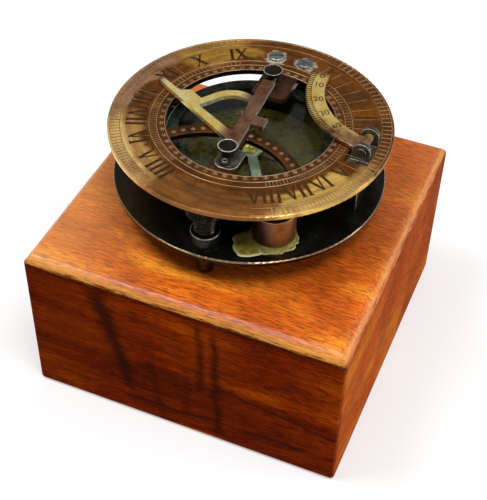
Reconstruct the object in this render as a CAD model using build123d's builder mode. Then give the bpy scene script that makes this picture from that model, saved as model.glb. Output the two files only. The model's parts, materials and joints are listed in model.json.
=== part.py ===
"""Inclining sundial compass standing on the lid of its two-part wooden case.

Millimetres, +Z up, +Y north along the noon line, +X east, origin under the middle of the case.
"""

import os
from math import cos, radians, sin

from build123d import *

# Case: two hollowed wooden halves, the upper one lifts off.
case_width = 120.0
case_height = 66.0
seam_height = 40.0
case_corner_radius = 1.6
case_foot_radius = 1.5
lid_edge_radius = 5.0
recess_radius = 53.5
recess_floor = 9.0
lid_roof = 10.0
lip_thickness = 1.6
lip_height = 3.0
lip_clearance = 0.3

# Fits used throughout: running fits turn, close fits stay put.
running_clearance = 0.05
close_clearance = 0.02

# Base plate on three levelling screws.
compass_y = 2.0
plate_radius = 49.0
plate_thickness = 1.8
plate_stand = 11.2
foot_circle = 41.6
foot_start = 31.5
foot_count = 3
shank_radius = 3.0
foot_rounding = 1.0
boss_radius = 5.2
boss_height = 5.6
collar_radius = 3.8
collar_gap = 0.4
thumb_radius = 6.4
thumb_thickness = 5.1
thumb_lift = 13.5

# Hour ring with its bridge, above the base plate.
ring_radius = 50.0
ring_bore = 29.65
ring_thickness = 1.8
ring_lift = 19.6
ring_edge_rounding = 0.4
bridge_radius = 31.4
bridge_middle_y = -39.4
bridge_width = 4.6
arm_width = 8.4
arm_x = 1.6
arm_neck = 5.2
arm_neck_y = -17.2
arm_shoulder_y = -20.0

# Compass bowl.
bowl_radius = 28.5
bowl_wall = 1.5
bowl_floor = 3.0
bowl_height = 14.6
card_ledge = 2.0
card_lift = 5.4
card_thickness = 0.6
card_margin = 0.4
glass_thickness = 1.6
glass_margin = 0.3
bezel_radius = 30.0
bezel_bore = 25.8
bezel_lip = 0.7
bezel_skirt = 2.8

# Needle on its pivot, heights above the base plate.
needle_lift = 7.7
needle_thickness = 0.8
needle_reach = 23.5
needle_width = 3.6
needle_hub = 4.8
needle_hole = 2.6
needle_heading = 31.0
pivot_radius = 1.1
pivot_flange_radius = 3.0
pivot_flange = 1.0
pivot_point = 0.15
pivot_cone = 1.5
pivot_rise = 1.0
cap_flange_radius = 3.6
cap_flange = 0.8
cap_crown_radius = 2.4
cap_crown = 1.1
cap_mouth = 1.9
cap_apex = 0.25

# Round spirit level in a copper cup.
level_circle = 37.1
level_heading = -55.0
cup_radius = 7.5
cup_wall = 0.8
cup_floor = 1.0
cup_height = 13.0
fluid_depth = 9.6
level_glass_thickness = 1.2
cement_height = 0.8
cement_reach = (8.4, 8.3, 8.2, 8.0, 8.0, 8.3, 9.4, 15.0, 14.0, 8.6, 8.3, 8.3)

# Ring hinge at the north.
hinge_y = 44.5
hinge_drop = 3.0
knuckle_radius = 2.3
knuckle_half = 6.1
cheek_gap = 0.3
cheek_thickness = 2.4
bracket_foot = 2.0
bracket_depth = 8.6
bracket_web = 2.0
bracket_web_height = 12.6
hinge_pin_radius = 1.2
pin_head_radius = 1.9
pin_head = 0.7
leaf_thickness = 1.6
leaf_half = 6.0
leaf_end_y = 18.4
tongue_half = 6.4
tongue_end_y = 15.2
tongue_corner = 1.0
leaf_wing_half = 9.0
leaf_wing_south = 34.5
leaf_wing_north = 41.5
leaf_screw_x = 5.65
leaf_screw_y = 38.7
leaf_screw_radius = 1.3
leaf_head_radius = 2.9
leaf_head = 1.0
slot_turn = 67.0
slot_width = 0.9
slot_depth = 0.7

# Gnomon folding flat to the west; its line runs a little west of north.
gnomon_lean = 2.3
gnomon_thickness = 1.6
gnomon_lift = 1.3
gnomon_axis_x = 0.3
post_stem = 2.1
post_cap_radius = 3.5
post_cap = 1.0
post_north_x = -0.9
post_north_y = 25.4
post_south_x = -0.75
post_south_y = -20.7
post_crown = 4.2
post_dish_radius = 2.9
post_dish = 0.25
gnomon_end_gap = 0.3
bar_west = -3.2
bar_east = 1.3
tab_east = 6.0
tab_south = -4.4
tab_north = 0.4
style_angle = 58.0
style_length = 43.5
style_width = 4.0
style_tip_width = 2.0
style_rise = 0.75
brace_width = 3.0
brace_root = 25.0
brace_dip_x = 5.45
brace_dip_y = 5.05
brace_climb_x = 8.45
brace_climb_y = 8.75
brace_crest_x = 13.15
brace_crest_y = 11.15
brace_end_x = 19.75
brace_end_y = 9.05
gusset_tipward = 9.0
gusset_rootward = 5.0
gusset_top = 6.0
gusset_rise = 4.6
pivot_pin_radius = 0.6
pivot_pin_bite = 3.0
strap_x = 1.6
strap_half = 4.2
strap_thickness = 0.6
strap_south = -28.2
strap_north = -17.4
rivet_x = 0.9
rivet_y = -25.1
rivet_radius = 1.3
rivet_head_radius = 2.0
rivet_head = 0.8

# Latitude arc folding flat to the west from its clevis in the east.
arc_middle_x = 44.8
arc_middle_y = 32.5
arc_outer = 34.4
arc_inner = 27.6
arc_start = 176.0
arc_end = 248.0
arc_thickness = 1.4
arc_gap = 0.4
arc_axis_x = 41.4
barrel_radius = 1.6
barrel_south = -1.4
barrel_north = 5.6
side_gap = 0.2
clevis_cheek = 1.8
clevis_half = 3.3
clevis_flange = 1.2
clevis_margin = 1.4
arc_pin_radius = 0.8
slot_east = 45.0
slot_west = 36.8
slot_south = -7.4
slot_north = 8.6
rest_gap = 0.1
rest_west = 36.5
rest_east = 42.5
rest_south = -6.5
rest_north = 5.5

# Small screws that come up through the base plate.
fixing_radius = 1.0
fixing_head_radius = 1.9
fixing_head = 1.2
fixing_bite = 1.8
bowl_fixing_circle = 20.0
bracket_fixing_x = 5.0
bracket_fixing_y = 41.0

# Levels that follow from the sizes above.
plate_bottom = case_height + plate_stand
plate_top = plate_bottom + plate_thickness
ring_bottom = plate_top + ring_lift
ring_top = ring_bottom + ring_thickness
hinge_z = ring_bottom - hinge_drop
gnomon_z = ring_top + gnomon_lift
post_top = ring_top + post_crown
arc_bottom = ring_top + arc_gap
arc_axis_z = arc_bottom + arc_thickness
glass_bottom = plate_top + bowl_height
glass_top = glass_bottom + glass_thickness
needle_bottom = plate_top + needle_lift
needle_top = needle_bottom + needle_thickness
pivot_tip = needle_bottom + pivot_rise
card_bottom = plate_top + card_lift
bowl_inside = bowl_radius - bowl_wall
level_x = level_circle * cos(radians(level_heading))
level_y = level_circle * sin(radians(level_heading))
bar_north_y = post_north_y - post_cap_radius - gnomon_end_gap
bar_south_y = post_south_y + post_cap_radius + gnomon_end_gap
arm_west = arm_x - arm_width / 2
rest_x = (rest_west + rest_east) / 2
rest_y = (rest_south + rest_north) / 2
cheek_inner = knuckle_half + cheek_gap
cheek_outer = cheek_inner + cheek_thickness
lid_recess_radius = recess_radius + lip_thickness + lip_clearance
clevis_south_outer = barrel_south - side_gap - clevis_cheek
clevis_north_outer = barrel_north + side_gap + clevis_cheek
foot_step = 360.0 / foot_count
south_foot = foot_start + 2 * foot_step
fixing_spots = [
    (bracket_fixing_x, bracket_fixing_y),
    (-bracket_fixing_x, bracket_fixing_y),
    (rest_x, rest_y),
]
for turn in (0.0, 120.0, 240.0):
    spot_x = bowl_fixing_circle * cos(radians(turn + 90.0))
    spot_y = bowl_fixing_circle * sin(radians(turn + 90.0))
    fixing_spots.append((spot_x, spot_y))


def deck(height):
    """Level plane of the compass: its origin is on the compass axis."""
    return Plane(origin=(0, compass_y, height))


def facing_north(x, y, height):
    """Upright plane whose normal runs north; its own y axis points down."""
    return Plane(origin=(x, compass_y + y, height), x_dir=(1, 0, 0), z_dir=(0, 1, 0))


def gnomon_deck(height):
    """Level plane turned to the gnomon's own line."""
    return deck(height).rotated((0, 0, gnomon_lean))


def along_gnomon(x, y, height):
    """Upright plane whose normal runs north along the gnomon's own line."""
    level = gnomon_deck(height)
    return Plane(origin=level.from_local_coords((x, y, 0)), x_dir=level.x_dir, z_dir=level.y_dir)


def facing_east(x, y, height):
    """Upright plane whose normal runs east; its own axes are north and up."""
    return Plane(origin=(x, compass_y + y, height), x_dir=(0, 1, 0), z_dir=(1, 0, 0))


# The case.
with BuildPart() as case_body:
    with BuildSketch():
        RectangleRounded(case_width, case_width, case_corner_radius)
    extrude(amount=seam_height)
    fillet(case_body.edges().group_by(Axis.Z)[0], case_foot_radius)
    with BuildSketch(Plane.XY.offset(seam_height)):
        Circle(recess_radius + lip_thickness)
    extrude(amount=lip_height)
    with BuildSketch(Plane.XY.offset(recess_floor)):
        Circle(recess_radius)
    extrude(amount=seam_height + lip_height - recess_floor, mode=Mode.SUBTRACT)

with BuildPart() as case_lid:
    with BuildSketch(Plane.XZ):
        with Locations((0, seam_height)):
            Rectangle(case_width, case_height - seam_height, align=(Align.CENTER, Align.MIN))
        fillet(vertices().group_by(Axis.Y)[-1], lid_edge_radius)
    extrude(amount=case_width / 2, both=True)
    with BuildSketch(Plane.YZ):
        with Locations((0, seam_height)):
            Rectangle(case_width, case_height - seam_height, align=(Align.CENTER, Align.MIN))
        fillet(vertices().group_by(Axis.Y)[-1], lid_edge_radius)
    extrude(amount=case_width / 2, both=True, mode=Mode.INTERSECT)
    with BuildSketch(Plane.XY.offset(seam_height)):
        RectangleRounded(case_width, case_width, case_corner_radius)
    extrude(amount=case_height - seam_height, mode=Mode.INTERSECT)
    with BuildSketch(Plane.XY.offset(seam_height)):
        Circle(lid_recess_radius)
    extrude(amount=case_height - seam_height - lid_roof, mode=Mode.SUBTRACT)

# The base plate and what stands on it.
with BuildPart() as base_plate:
    with BuildSketch(deck(plate_bottom)):
        Circle(plate_radius)
        with PolarLocations(foot_circle, foot_count, start_angle=foot_start):
            Circle(shank_radius + running_clearance, mode=Mode.SUBTRACT)
        with Locations(*fixing_spots):
            Circle(fixing_radius + close_clearance, mode=Mode.SUBTRACT)
    extrude(amount=plate_thickness)
    rim = base_plate.edges().filter_by(GeomType.CIRCLE).sort_by(SortBy.RADIUS)[-2:]
    fillet(rim, ring_edge_rounding)

with BuildPart() as plate_screws:
    with BuildSketch(deck(plate_bottom - fixing_head)):
        with Locations(*fixing_spots):
            Circle(fixing_head_radius)
    extrude(amount=fixing_head)
    with BuildSketch(deck(plate_bottom)):
        with Locations(*fixing_spots):
            Circle(fixing_radius)
    extrude(amount=plate_thickness + fixing_bite)

with BuildPart() as levelling_bosses:
    with BuildSketch(deck(plate_top)):
        with PolarLocations(foot_circle, foot_count, start_angle=foot_start):
            Circle(boss_radius)
            Circle(shank_radius + running_clearance, mode=Mode.SUBTRACT)
    extrude(amount=boss_height)


def levelling_screw(heading):
    """One levelling screw: rounded foot, plain shank, collar and a thumb wheel."""
    at = (foot_circle * cos(radians(heading)), foot_circle * sin(radians(heading)))
    with BuildPart() as screw:
        with BuildSketch(deck(case_height)):
            with Locations(at):
                Circle(shank_radius)
        extrude(amount=plate_stand + plate_thickness + thumb_lift)
        fillet(screw.edges().group_by(Axis.Z)[0], foot_rounding)
        with BuildSketch(deck(plate_top + boss_height + collar_gap)):
            with Locations(at):
                Circle(collar_radius)
        extrude(amount=thumb_lift - boss_height - collar_gap)
        with BuildSketch(deck(plate_top + thumb_lift)):
            with Locations(at):
                Circle(thumb_radius)
        extrude(amount=thumb_thickness)
        wheel = screw.edges().filter_by(GeomType.CIRCLE).sort_by(SortBy.RADIUS)[-2:]
        chamfer(wheel, foot_rounding / 2)
    return screw


levelling_screw_south = levelling_screw(south_foot)
levelling_screw_northeast = levelling_screw(foot_start)
levelling_screw_northwest = levelling_screw(foot_start + foot_step)

with BuildPart() as compass_bowl:
    with BuildSketch(deck(plate_top)):
        Circle(bowl_radius)
    extrude(amount=bowl_height)
    with BuildSketch(deck(plate_top + bowl_floor)):
        Circle(bowl_inside - card_ledge)
    extrude(amount=bowl_height - bowl_floor, mode=Mode.SUBTRACT)
    with BuildSketch(deck(card_bottom)):
        Circle(bowl_inside)
    extrude(amount=bowl_height - card_lift, mode=Mode.SUBTRACT)
    with BuildSketch(deck(plate_top)):
        with Locations(*fixing_spots[3:]):
            Circle(fixing_radius + close_clearance)
    extrude(amount=fixing_bite + close_clearance, mode=Mode.SUBTRACT)

with BuildPart() as compass_card:
    with BuildSketch(deck(card_bottom)):
        Circle(bowl_inside - card_margin)
        Circle(pivot_radius + card_margin, mode=Mode.SUBTRACT)
    extrude(amount=card_thickness)

with BuildPart() as needle_pivot:
    with BuildSketch(deck(plate_top + bowl_floor)):
        Circle(pivot_flange_radius)
    extrude(amount=pivot_flange)
    with BuildSketch(deck(plate_top + bowl_floor + pivot_flange)):
        Circle(pivot_radius)
    extrude(amount=pivot_tip - pivot_cone - plate_top - bowl_floor - pivot_flange)
    with BuildSketch(deck(pivot_tip - pivot_cone)):
        Circle(pivot_radius)
    with BuildSketch(deck(pivot_tip)):
        Circle(pivot_point)
    loft()

with BuildPart() as needle:
    with BuildSketch(deck(needle_bottom).rotated((0, 0, needle_heading))):
        Polygon(
            (-needle_width / 2, 0),
            (needle_width / 2, 0),
            (0, needle_reach),
            align=None,
        )
        with Locations((0, -needle_reach / 2)):
            Rectangle(needle_width, needle_reach)
        Circle(needle_hub)
        Circle(needle_hole, mode=Mode.SUBTRACT)
    extrude(amount=needle_thickness)

with BuildPart() as needle_cap:
    with BuildSketch(deck(needle_bottom)):
        Circle(needle_hole - close_clearance)
    extrude(amount=needle_thickness)
    with BuildSketch(deck(needle_top)):
        Circle(cap_flange_radius)
    extrude(amount=cap_flange)
    with BuildSketch(deck(needle_top + cap_flange)):
        Circle(cap_crown_radius)
    extrude(amount=cap_crown)
    fillet(needle_cap.edges().group_by(Axis.Z)[-1], cap_crown * 0.6)
    with BuildSketch(deck(needle_bottom)):
        Circle(cap_mouth)
    with BuildSketch(deck(pivot_tip + running_clearance)):
        Circle(cap_apex)
    loft(mode=Mode.SUBTRACT)

with BuildPart() as compass_glass:
    with BuildSketch(deck(glass_bottom)):
        Circle(bowl_radius - glass_margin)
    extrude(amount=glass_thickness)

with BuildPart() as glass_bezel:
    with BuildSketch(deck(glass_top - bezel_skirt)):
        Circle(bezel_radius)
        Circle(bowl_radius + close_clearance, mode=Mode.SUBTRACT)
    extrude(amount=bezel_skirt)
    with BuildSketch(deck(glass_top)):
        Circle(bezel_radius)
        Circle(bezel_bore, mode=Mode.SUBTRACT)
    extrude(amount=bezel_lip)
    outer_rim = glass_bezel.edges().group_by(Axis.Z)[-1].sort_by(SortBy.RADIUS)[-1]
    fillet(outer_rim, bezel_lip * 0.7)

# The spirit level.
with BuildPart() as level_cup:
    with BuildSketch(deck(plate_top)):
        with Locations((level_x, level_y)):
            Circle(cup_radius)
    extrude(amount=cup_height)
    with BuildSketch(deck(plate_top + cup_floor)):
        with Locations((level_x, level_y)):
            Circle(cup_radius - cup_wall)
    extrude(amount=cup_height - cup_floor, mode=Mode.SUBTRACT)

with BuildPart() as level_fluid:
    with BuildSketch(deck(plate_top + cup_floor)):
        with Locations((level_x, level_y)):
            Circle(cup_radius - cup_wall - close_clearance)
    extrude(amount=fluid_depth)

with BuildPart() as level_glass:
    with BuildSketch(deck(plate_top + cup_floor + fluid_depth)):
        with Locations((level_x, level_y)):
            Circle(cup_radius - cup_wall - close_clearance)
    extrude(amount=level_glass_thickness)

with BuildPart() as level_cement:
    step = 360.0 / len(cement_reach)
    smear = []
    for count, reach in enumerate(cement_reach):
        way = radians(count * step)
        smear.append((level_x + reach * cos(way), level_y + reach * sin(way)))
    with BuildSketch(deck(plate_top)):
        with BuildLine():
            Spline(*smear, periodic=True)
        make_face()
        with Locations((level_x, level_y)):
            Circle(cup_radius + close_clearance, mode=Mode.SUBTRACT)
    extrude(amount=cement_height)

# The ring hinge.
with BuildPart() as hinge_bracket:
    with BuildSketch(deck(plate_top)):
        with Locations((0, hinge_y + knuckle_radius)):
            Rectangle(2 * cheek_outer, bracket_depth, align=(Align.CENTER, Align.MAX))
        with Locations(*fixing_spots[:2]):
            Circle(fixing_radius + close_clearance, mode=Mode.SUBTRACT)
    extrude(amount=bracket_foot)
    with BuildSketch(deck(plate_top + bracket_foot)):
        with Locations((0, hinge_y + knuckle_radius - bracket_depth)):
            Rectangle(2 * cheek_outer, bracket_web, align=(Align.CENTER, Align.MIN))
    extrude(amount=bracket_web_height - bracket_foot)
    with BuildSketch(facing_east(-cheek_outer, hinge_y, hinge_z)):
        Circle(knuckle_radius)
        Rectangle(2 * knuckle_radius, hinge_z - plate_top, align=(Align.CENTER, Align.MAX))
        Circle(hinge_pin_radius + close_clearance, mode=Mode.SUBTRACT)
    extrude(amount=cheek_thickness)
    with BuildSketch(facing_east(cheek_inner, hinge_y, hinge_z)):
        Circle(knuckle_radius)
        Rectangle(2 * knuckle_radius, hinge_z - plate_top, align=(Align.CENTER, Align.MAX))
        Circle(hinge_pin_radius + close_clearance, mode=Mode.SUBTRACT)
    extrude(amount=cheek_thickness)

with BuildPart() as hinge_pin:
    with BuildSketch(facing_east(-cheek_outer, hinge_y, hinge_z)):
        Circle(hinge_pin_radius)
    extrude(amount=2 * cheek_outer)
    with BuildSketch(facing_east(cheek_outer, hinge_y, hinge_z)):
        Circle(pin_head_radius)
    extrude(amount=pin_head)
    with BuildSketch(facing_east(-cheek_outer - pin_head, hinge_y, hinge_z)):
        Circle(pin_head_radius)
    extrude(amount=pin_head)

with BuildPart() as hinge_leaf:
    with BuildSketch(deck(ring_bottom - leaf_thickness)):
        with Locations((0, leaf_end_y)):
            Rectangle(2 * leaf_half, hinge_y - leaf_end_y, align=(Align.CENTER, Align.MIN))
        with Locations((0, leaf_wing_south)):
            wing_depth = leaf_wing_north - leaf_wing_south
            Rectangle(2 * leaf_wing_half, wing_depth, align=(Align.CENTER, Align.MIN))
        with Locations((leaf_screw_x, leaf_screw_y), (-leaf_screw_x, leaf_screw_y)):
            Circle(leaf_screw_radius + close_clearance, mode=Mode.SUBTRACT)
    extrude(amount=leaf_thickness)
    with BuildSketch(deck(ring_bottom)):
        with Locations((0, tongue_end_y)):
            Rectangle(2 * tongue_half, ring_bore - tongue_end_y, align=(Align.CENTER, Align.MIN))
        chamfer(vertices().group_by(Axis.Y)[0], tongue_corner)
        Circle(ring_bore - close_clearance, mode=Mode.INTERSECT)
    extrude(amount=ring_thickness)
    with BuildSketch(facing_east(-knuckle_half, hinge_y, hinge_z)):
        Circle(knuckle_radius)
    extrude(amount=2 * knuckle_half)
    with BuildSketch(facing_east(-knuckle_half, hinge_y, hinge_z)):
        Circle(hinge_pin_radius + running_clearance)
    extrude(amount=2 * knuckle_half, mode=Mode.SUBTRACT)

with BuildPart() as leaf_screws:
    with BuildSketch(deck(ring_bottom - leaf_thickness)):
        with Locations((leaf_screw_x, leaf_screw_y), (-leaf_screw_x, leaf_screw_y)):
            Circle(leaf_screw_radius)
    extrude(amount=leaf_thickness + ring_thickness)
    with BuildSketch(deck(ring_top)):
        with Locations((leaf_screw_x, leaf_screw_y), (-leaf_screw_x, leaf_screw_y)):
            Circle(leaf_head_radius)
    extrude(amount=leaf_head)
    fillet(leaf_screws.edges().group_by(Axis.Z)[-1], leaf_head * 0.5)
    with BuildSketch(deck(ring_top + leaf_head - slot_depth)):
        for side in (-1, 1):
            with Locations((side * leaf_screw_x, leaf_screw_y)):
                Rectangle(slot_width, 2 * leaf_head_radius, rotation=side * slot_turn)
    extrude(amount=slot_depth, mode=Mode.SUBTRACT)

# The hour ring.
with BuildPart() as hour_ring:
    with BuildSketch(deck(ring_bottom)):
        with Locations((0, bridge_middle_y)):
            Circle(bridge_radius + bridge_width / 2)
            Circle(bridge_radius - bridge_width / 2, mode=Mode.SUBTRACT)
        Polygon(
            (arm_west, bridge_middle_y + bridge_radius),
            (arm_west, bridge_middle_y),
            (arm_west + arm_width, bridge_middle_y),
            (arm_west + arm_width, arm_shoulder_y),
            (arm_west + arm_neck, arm_neck_y),
            (arm_west + arm_neck, bridge_middle_y + bridge_radius),
            align=None,
        )
        Circle(ring_radius - ring_edge_rounding, mode=Mode.INTERSECT)
        with BuildSketch(mode=Mode.ADD):
            Circle(ring_radius)
            Circle(ring_bore, mode=Mode.SUBTRACT)
        with Locations(((slot_west + slot_east) / 2, (slot_south + slot_north) / 2)):
            Rectangle(slot_east - slot_west, slot_north - slot_south, mode=Mode.SUBTRACT)
        with Locations((leaf_screw_x, leaf_screw_y), (-leaf_screw_x, leaf_screw_y)):
            Circle(leaf_screw_radius + close_clearance, mode=Mode.SUBTRACT)
        with Locations((rivet_x, rivet_y)):
            Circle(rivet_radius + close_clearance, mode=Mode.SUBTRACT)
    extrude(amount=ring_thickness)
    rim = hour_ring.edges().filter_by(GeomType.CIRCLE).sort_by(SortBy.RADIUS)[-2:]
    fillet(rim, ring_edge_rounding)

with BuildPart() as south_strap:
    with BuildSketch(deck(ring_top)):
        with Locations((strap_x, (strap_north + strap_south) / 2)):
            Rectangle(2 * strap_half, strap_north - strap_south)
        fillet(vertices().group_by(Axis.Y)[0], strap_half * 0.8)
        with Locations((rivet_x, rivet_y)):
            Circle(rivet_radius + close_clearance, mode=Mode.SUBTRACT)
    extrude(amount=strap_thickness)

with BuildPart() as south_rivet:
    with BuildSketch(deck(ring_bottom - rivet_head)):
        with Locations((rivet_x, rivet_y)):
            Circle(rivet_head_radius)
    extrude(amount=rivet_head)
    with BuildSketch(deck(ring_bottom)):
        with Locations((rivet_x, rivet_y)):
            Circle(rivet_radius)
    extrude(amount=ring_thickness + strap_thickness)
    with BuildSketch(deck(ring_top + strap_thickness)):
        with Locations((rivet_x, rivet_y)):
            Circle(rivet_head_radius)
    extrude(amount=rivet_head)
    fillet(south_rivet.edges().group_by(Axis.Z)[-1], rivet_head * 0.6)

# The gnomon, its posts and its pins.
def gnomon_post(x, y, foot, toward):
    """A stem with a dished cap; the pin bore opens on the side facing the gnomon."""
    with BuildPart() as post:
        with BuildSketch(gnomon_deck(foot)):
            with Locations((x, y)):
                Circle(post_stem)
        extrude(amount=post_top - post_cap - foot)
        with BuildSketch(gnomon_deck(post_top - post_cap)):
            with Locations((x, y)):
                Circle(post_cap_radius)
        extrude(amount=post_cap)
        with BuildSketch(gnomon_deck(post_top - post_dish)):
            with Locations((x, y)):
                Circle(post_dish_radius)
        extrude(amount=post_dish, mode=Mode.SUBTRACT)
        with BuildSketch(along_gnomon(gnomon_axis_x, y + toward * post_stem, gnomon_z)):
            Circle(pivot_pin_radius + running_clearance)
        extrude(amount=-toward * (pivot_pin_bite + running_clearance), mode=Mode.SUBTRACT)
    return post


gnomon_post_north = gnomon_post(post_north_x, post_north_y, ring_top, -1)
gnomon_post_south = gnomon_post(post_south_x, post_south_y, ring_top + strap_thickness, 1)

lean = radians(style_angle)
style_root = (bar_west + style_width / 2, bar_south_y + style_width / 2 + style_rise)
style_tip = (
    style_root[0] - style_length * sin(lean),
    style_root[1] + style_length * cos(lean),
)
square_x = cos(lean)
square_y = sin(lean)
brace_start = (style_root[0] - brace_root * sin(lean), style_root[1] + brace_root * cos(lean))
gusset_corner = (
    square_x * gusset_rise - square_y * gusset_top,
    square_y * gusset_rise + square_x * gusset_top,
)
brace_way = [
    brace_start,
    (brace_start[0] + brace_dip_x, brace_start[1] + brace_dip_y),
    (brace_start[0] + brace_climb_x, brace_start[1] + brace_climb_y),
    (brace_start[0] + brace_crest_x, brace_start[1] + brace_crest_y),
    (brace_start[0] + brace_end_x, brace_start[1] + brace_end_y),
]
with BuildPart() as gnomon:
    with BuildSketch(gnomon_deck(gnomon_z - gnomon_thickness / 2)):
        with Locations(((bar_west + bar_east) / 2, (bar_north_y + bar_south_y) / 2)):
            Rectangle(bar_east - bar_west, bar_north_y - bar_south_y)
        with Locations(((bar_west + tab_east) / 2, (tab_south + tab_north) / 2)):
            Rectangle(tab_east - bar_west, tab_north - tab_south)
        Polygon(
            (style_root[0] + square_x * style_width / 2, style_root[1] + square_y * style_width / 2),
            (style_tip[0] + square_x * style_tip_width / 2, style_tip[1] + square_y * style_tip_width / 2),
            (style_tip[0] - square_x * style_tip_width / 2, style_tip[1] - square_y * style_tip_width / 2),
            (style_root[0] - square_x * style_width / 2, style_root[1] - square_y * style_width / 2),
            align=None,
        )
        Polygon(
            (brace_start[0] - square_y * gusset_tipward, brace_start[1] + square_x * gusset_tipward),
            (brace_start[0] + gusset_corner[0], brace_start[1] + gusset_corner[1]),
            (brace_start[0] + square_x * gusset_rise, brace_start[1] + square_y * gusset_rise),
            (brace_start[0] + square_y * gusset_rootward, brace_start[1] - square_x * gusset_rootward),
            align=None,
        )
        with BuildLine() as brace_line:
            Spline(*brace_way)
        trace(line_width=brace_width)
    extrude(amount=gnomon_thickness)
    with BuildSketch(along_gnomon(gnomon_axis_x, bar_north_y, gnomon_z)):
        Circle(pivot_pin_radius + close_clearance)
    extrude(amount=-pivot_pin_bite, mode=Mode.SUBTRACT)
    with BuildSketch(along_gnomon(gnomon_axis_x, bar_south_y, gnomon_z)):
        Circle(pivot_pin_radius + close_clearance)
    extrude(amount=pivot_pin_bite, mode=Mode.SUBTRACT)

with BuildPart() as gnomon_pins:
    pin_length = 2 * pivot_pin_bite + gnomon_end_gap + post_cap_radius - post_stem
    with BuildSketch(along_gnomon(gnomon_axis_x, bar_north_y - pivot_pin_bite, gnomon_z)):
        Circle(pivot_pin_radius)
    extrude(amount=pin_length)
    with BuildSketch(along_gnomon(gnomon_axis_x, bar_south_y + pivot_pin_bite, gnomon_z)):
        Circle(pivot_pin_radius)
    extrude(amount=-pin_length)

# The latitude arc, its clevis and the block the ring comes down on.
with BuildPart() as ring_rest:
    with BuildSketch(deck(plate_top)):
        with Locations((rest_x, rest_y)):
            Rectangle(rest_east - rest_west, rest_north - rest_south)
    extrude(amount=ring_bottom - clevis_flange - rest_gap - plate_top)
    with BuildSketch(deck(plate_top)):
        with Locations((rest_x, rest_y)):
            Circle(fixing_radius + close_clearance)
    extrude(amount=fixing_bite + close_clearance, mode=Mode.SUBTRACT)

with BuildPart() as arc_clevis:
    with BuildSketch(deck(ring_bottom - clevis_flange)):
        with Locations(((slot_west + slot_east) / 2, (slot_south + slot_north) / 2)):
            flange_width = slot_east - slot_west + 2 * clevis_margin
            flange_length = slot_north - slot_south + 2 * clevis_margin
            Rectangle(flange_width, flange_length)
    extrude(amount=clevis_flange)
    for cheek_y in (clevis_south_outer, barrel_north + side_gap):
        with BuildSketch(facing_north(arc_axis_x, cheek_y, arc_axis_z)):
            Circle(clevis_half)
            Rectangle(2 * clevis_half, arc_axis_z - ring_bottom, align=(Align.CENTER, Align.MIN))
            Circle(arc_pin_radius + close_clearance, mode=Mode.SUBTRACT)
        extrude(amount=clevis_cheek)

with BuildPart() as arc_pin:
    with BuildSketch(facing_north(arc_axis_x, clevis_south_outer, arc_axis_z)):
        Circle(arc_pin_radius)
    extrude(amount=clevis_north_outer - clevis_south_outer)
    with BuildSketch(facing_north(arc_axis_x, clevis_north_outer, arc_axis_z)):
        Circle(pin_head_radius)
    extrude(amount=pin_head)
    with BuildSketch(facing_north(arc_axis_x, clevis_south_outer - pin_head, arc_axis_z)):
        Circle(pin_head_radius)
    extrude(amount=pin_head)

sweep_start = radians(arc_start)
sweep_end = radians(arc_end)
far_in = (arc_middle_x + arc_inner * cos(sweep_start), arc_middle_y + arc_inner * sin(sweep_start))
near_in = (arc_middle_x + arc_inner * cos(sweep_end), arc_middle_y + arc_inner * sin(sweep_end))
near_out = (arc_middle_x + arc_outer * cos(sweep_end), arc_middle_y + arc_outer * sin(sweep_end))
with BuildPart() as latitude_arc:
    with BuildSketch(deck(arc_bottom)):
        with BuildLine():
            CenterArc((arc_middle_x, arc_middle_y), arc_outer, arc_start, arc_end - arc_start)
            CenterArc((arc_middle_x, arc_middle_y), arc_inner, arc_start, arc_end - arc_start)
            far_out_x = arc_middle_x + arc_outer * cos(sweep_start)
            far_out_y = arc_middle_y + arc_outer * sin(sweep_start)
            Line(far_in, (far_out_x, far_out_y))
            Line(near_in, near_out)
        make_face()
        Polygon(
            near_in,
            near_out,
            (arc_axis_x - clevis_half, barrel_south),
            (arc_axis_x, barrel_south),
            (arc_axis_x, barrel_north),
            (arc_axis_x - clevis_half - 2 * side_gap, barrel_north),
            align=None,
        )
    extrude(amount=arc_thickness)
    with BuildSketch(facing_north(arc_axis_x, barrel_south, arc_axis_z)):
        Circle(barrel_radius)
    extrude(amount=barrel_north - barrel_south)
    with BuildSketch(facing_north(arc_axis_x, barrel_south, arc_axis_z)):
        Circle(arc_pin_radius + running_clearance)
    extrude(amount=barrel_north - barrel_south, mode=Mode.SUBTRACT)

pieces = {
    "case_body": case_body,
    "case_lid": case_lid,
    "base_plate": base_plate,
    "plate_screws": plate_screws,
    "levelling_bosses": levelling_bosses,
    "levelling_screw_south": levelling_screw_south,
    "levelling_screw_northeast": levelling_screw_northeast,
    "levelling_screw_northwest": levelling_screw_northwest,
    "compass_bowl": compass_bowl,
    "compass_card": compass_card,
    "needle_pivot": needle_pivot,
    "needle": needle,
    "needle_cap": needle_cap,
    "compass_glass": compass_glass,
    "glass_bezel": glass_bezel,
    "level_cup": level_cup,
    "level_fluid": level_fluid,
    "level_glass": level_glass,
    "level_cement": level_cement,
    "hinge_bracket": hinge_bracket,
    "hinge_pin": hinge_pin,
    "hinge_leaf": hinge_leaf,
    "leaf_screws": leaf_screws,
    "hour_ring": hour_ring,
    "south_strap": south_strap,
    "south_rivet": south_rivet,
    "gnomon_post_north": gnomon_post_north,
    "gnomon_post_south": gnomon_post_south,
    "gnomon": gnomon,
    "gnomon_pins": gnomon_pins,
    "ring_rest": ring_rest,
    "arc_clevis": arc_clevis,
    "arc_pin": arc_pin,
    "latitude_arc": latitude_arc,
}
os.makedirs("parts", exist_ok=True)
for name, piece in pieces.items():
    piece.part.label = name
    export_step(piece.part, f"parts/{name}.step")
    print(name, round(piece.part.volume, 1))
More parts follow.
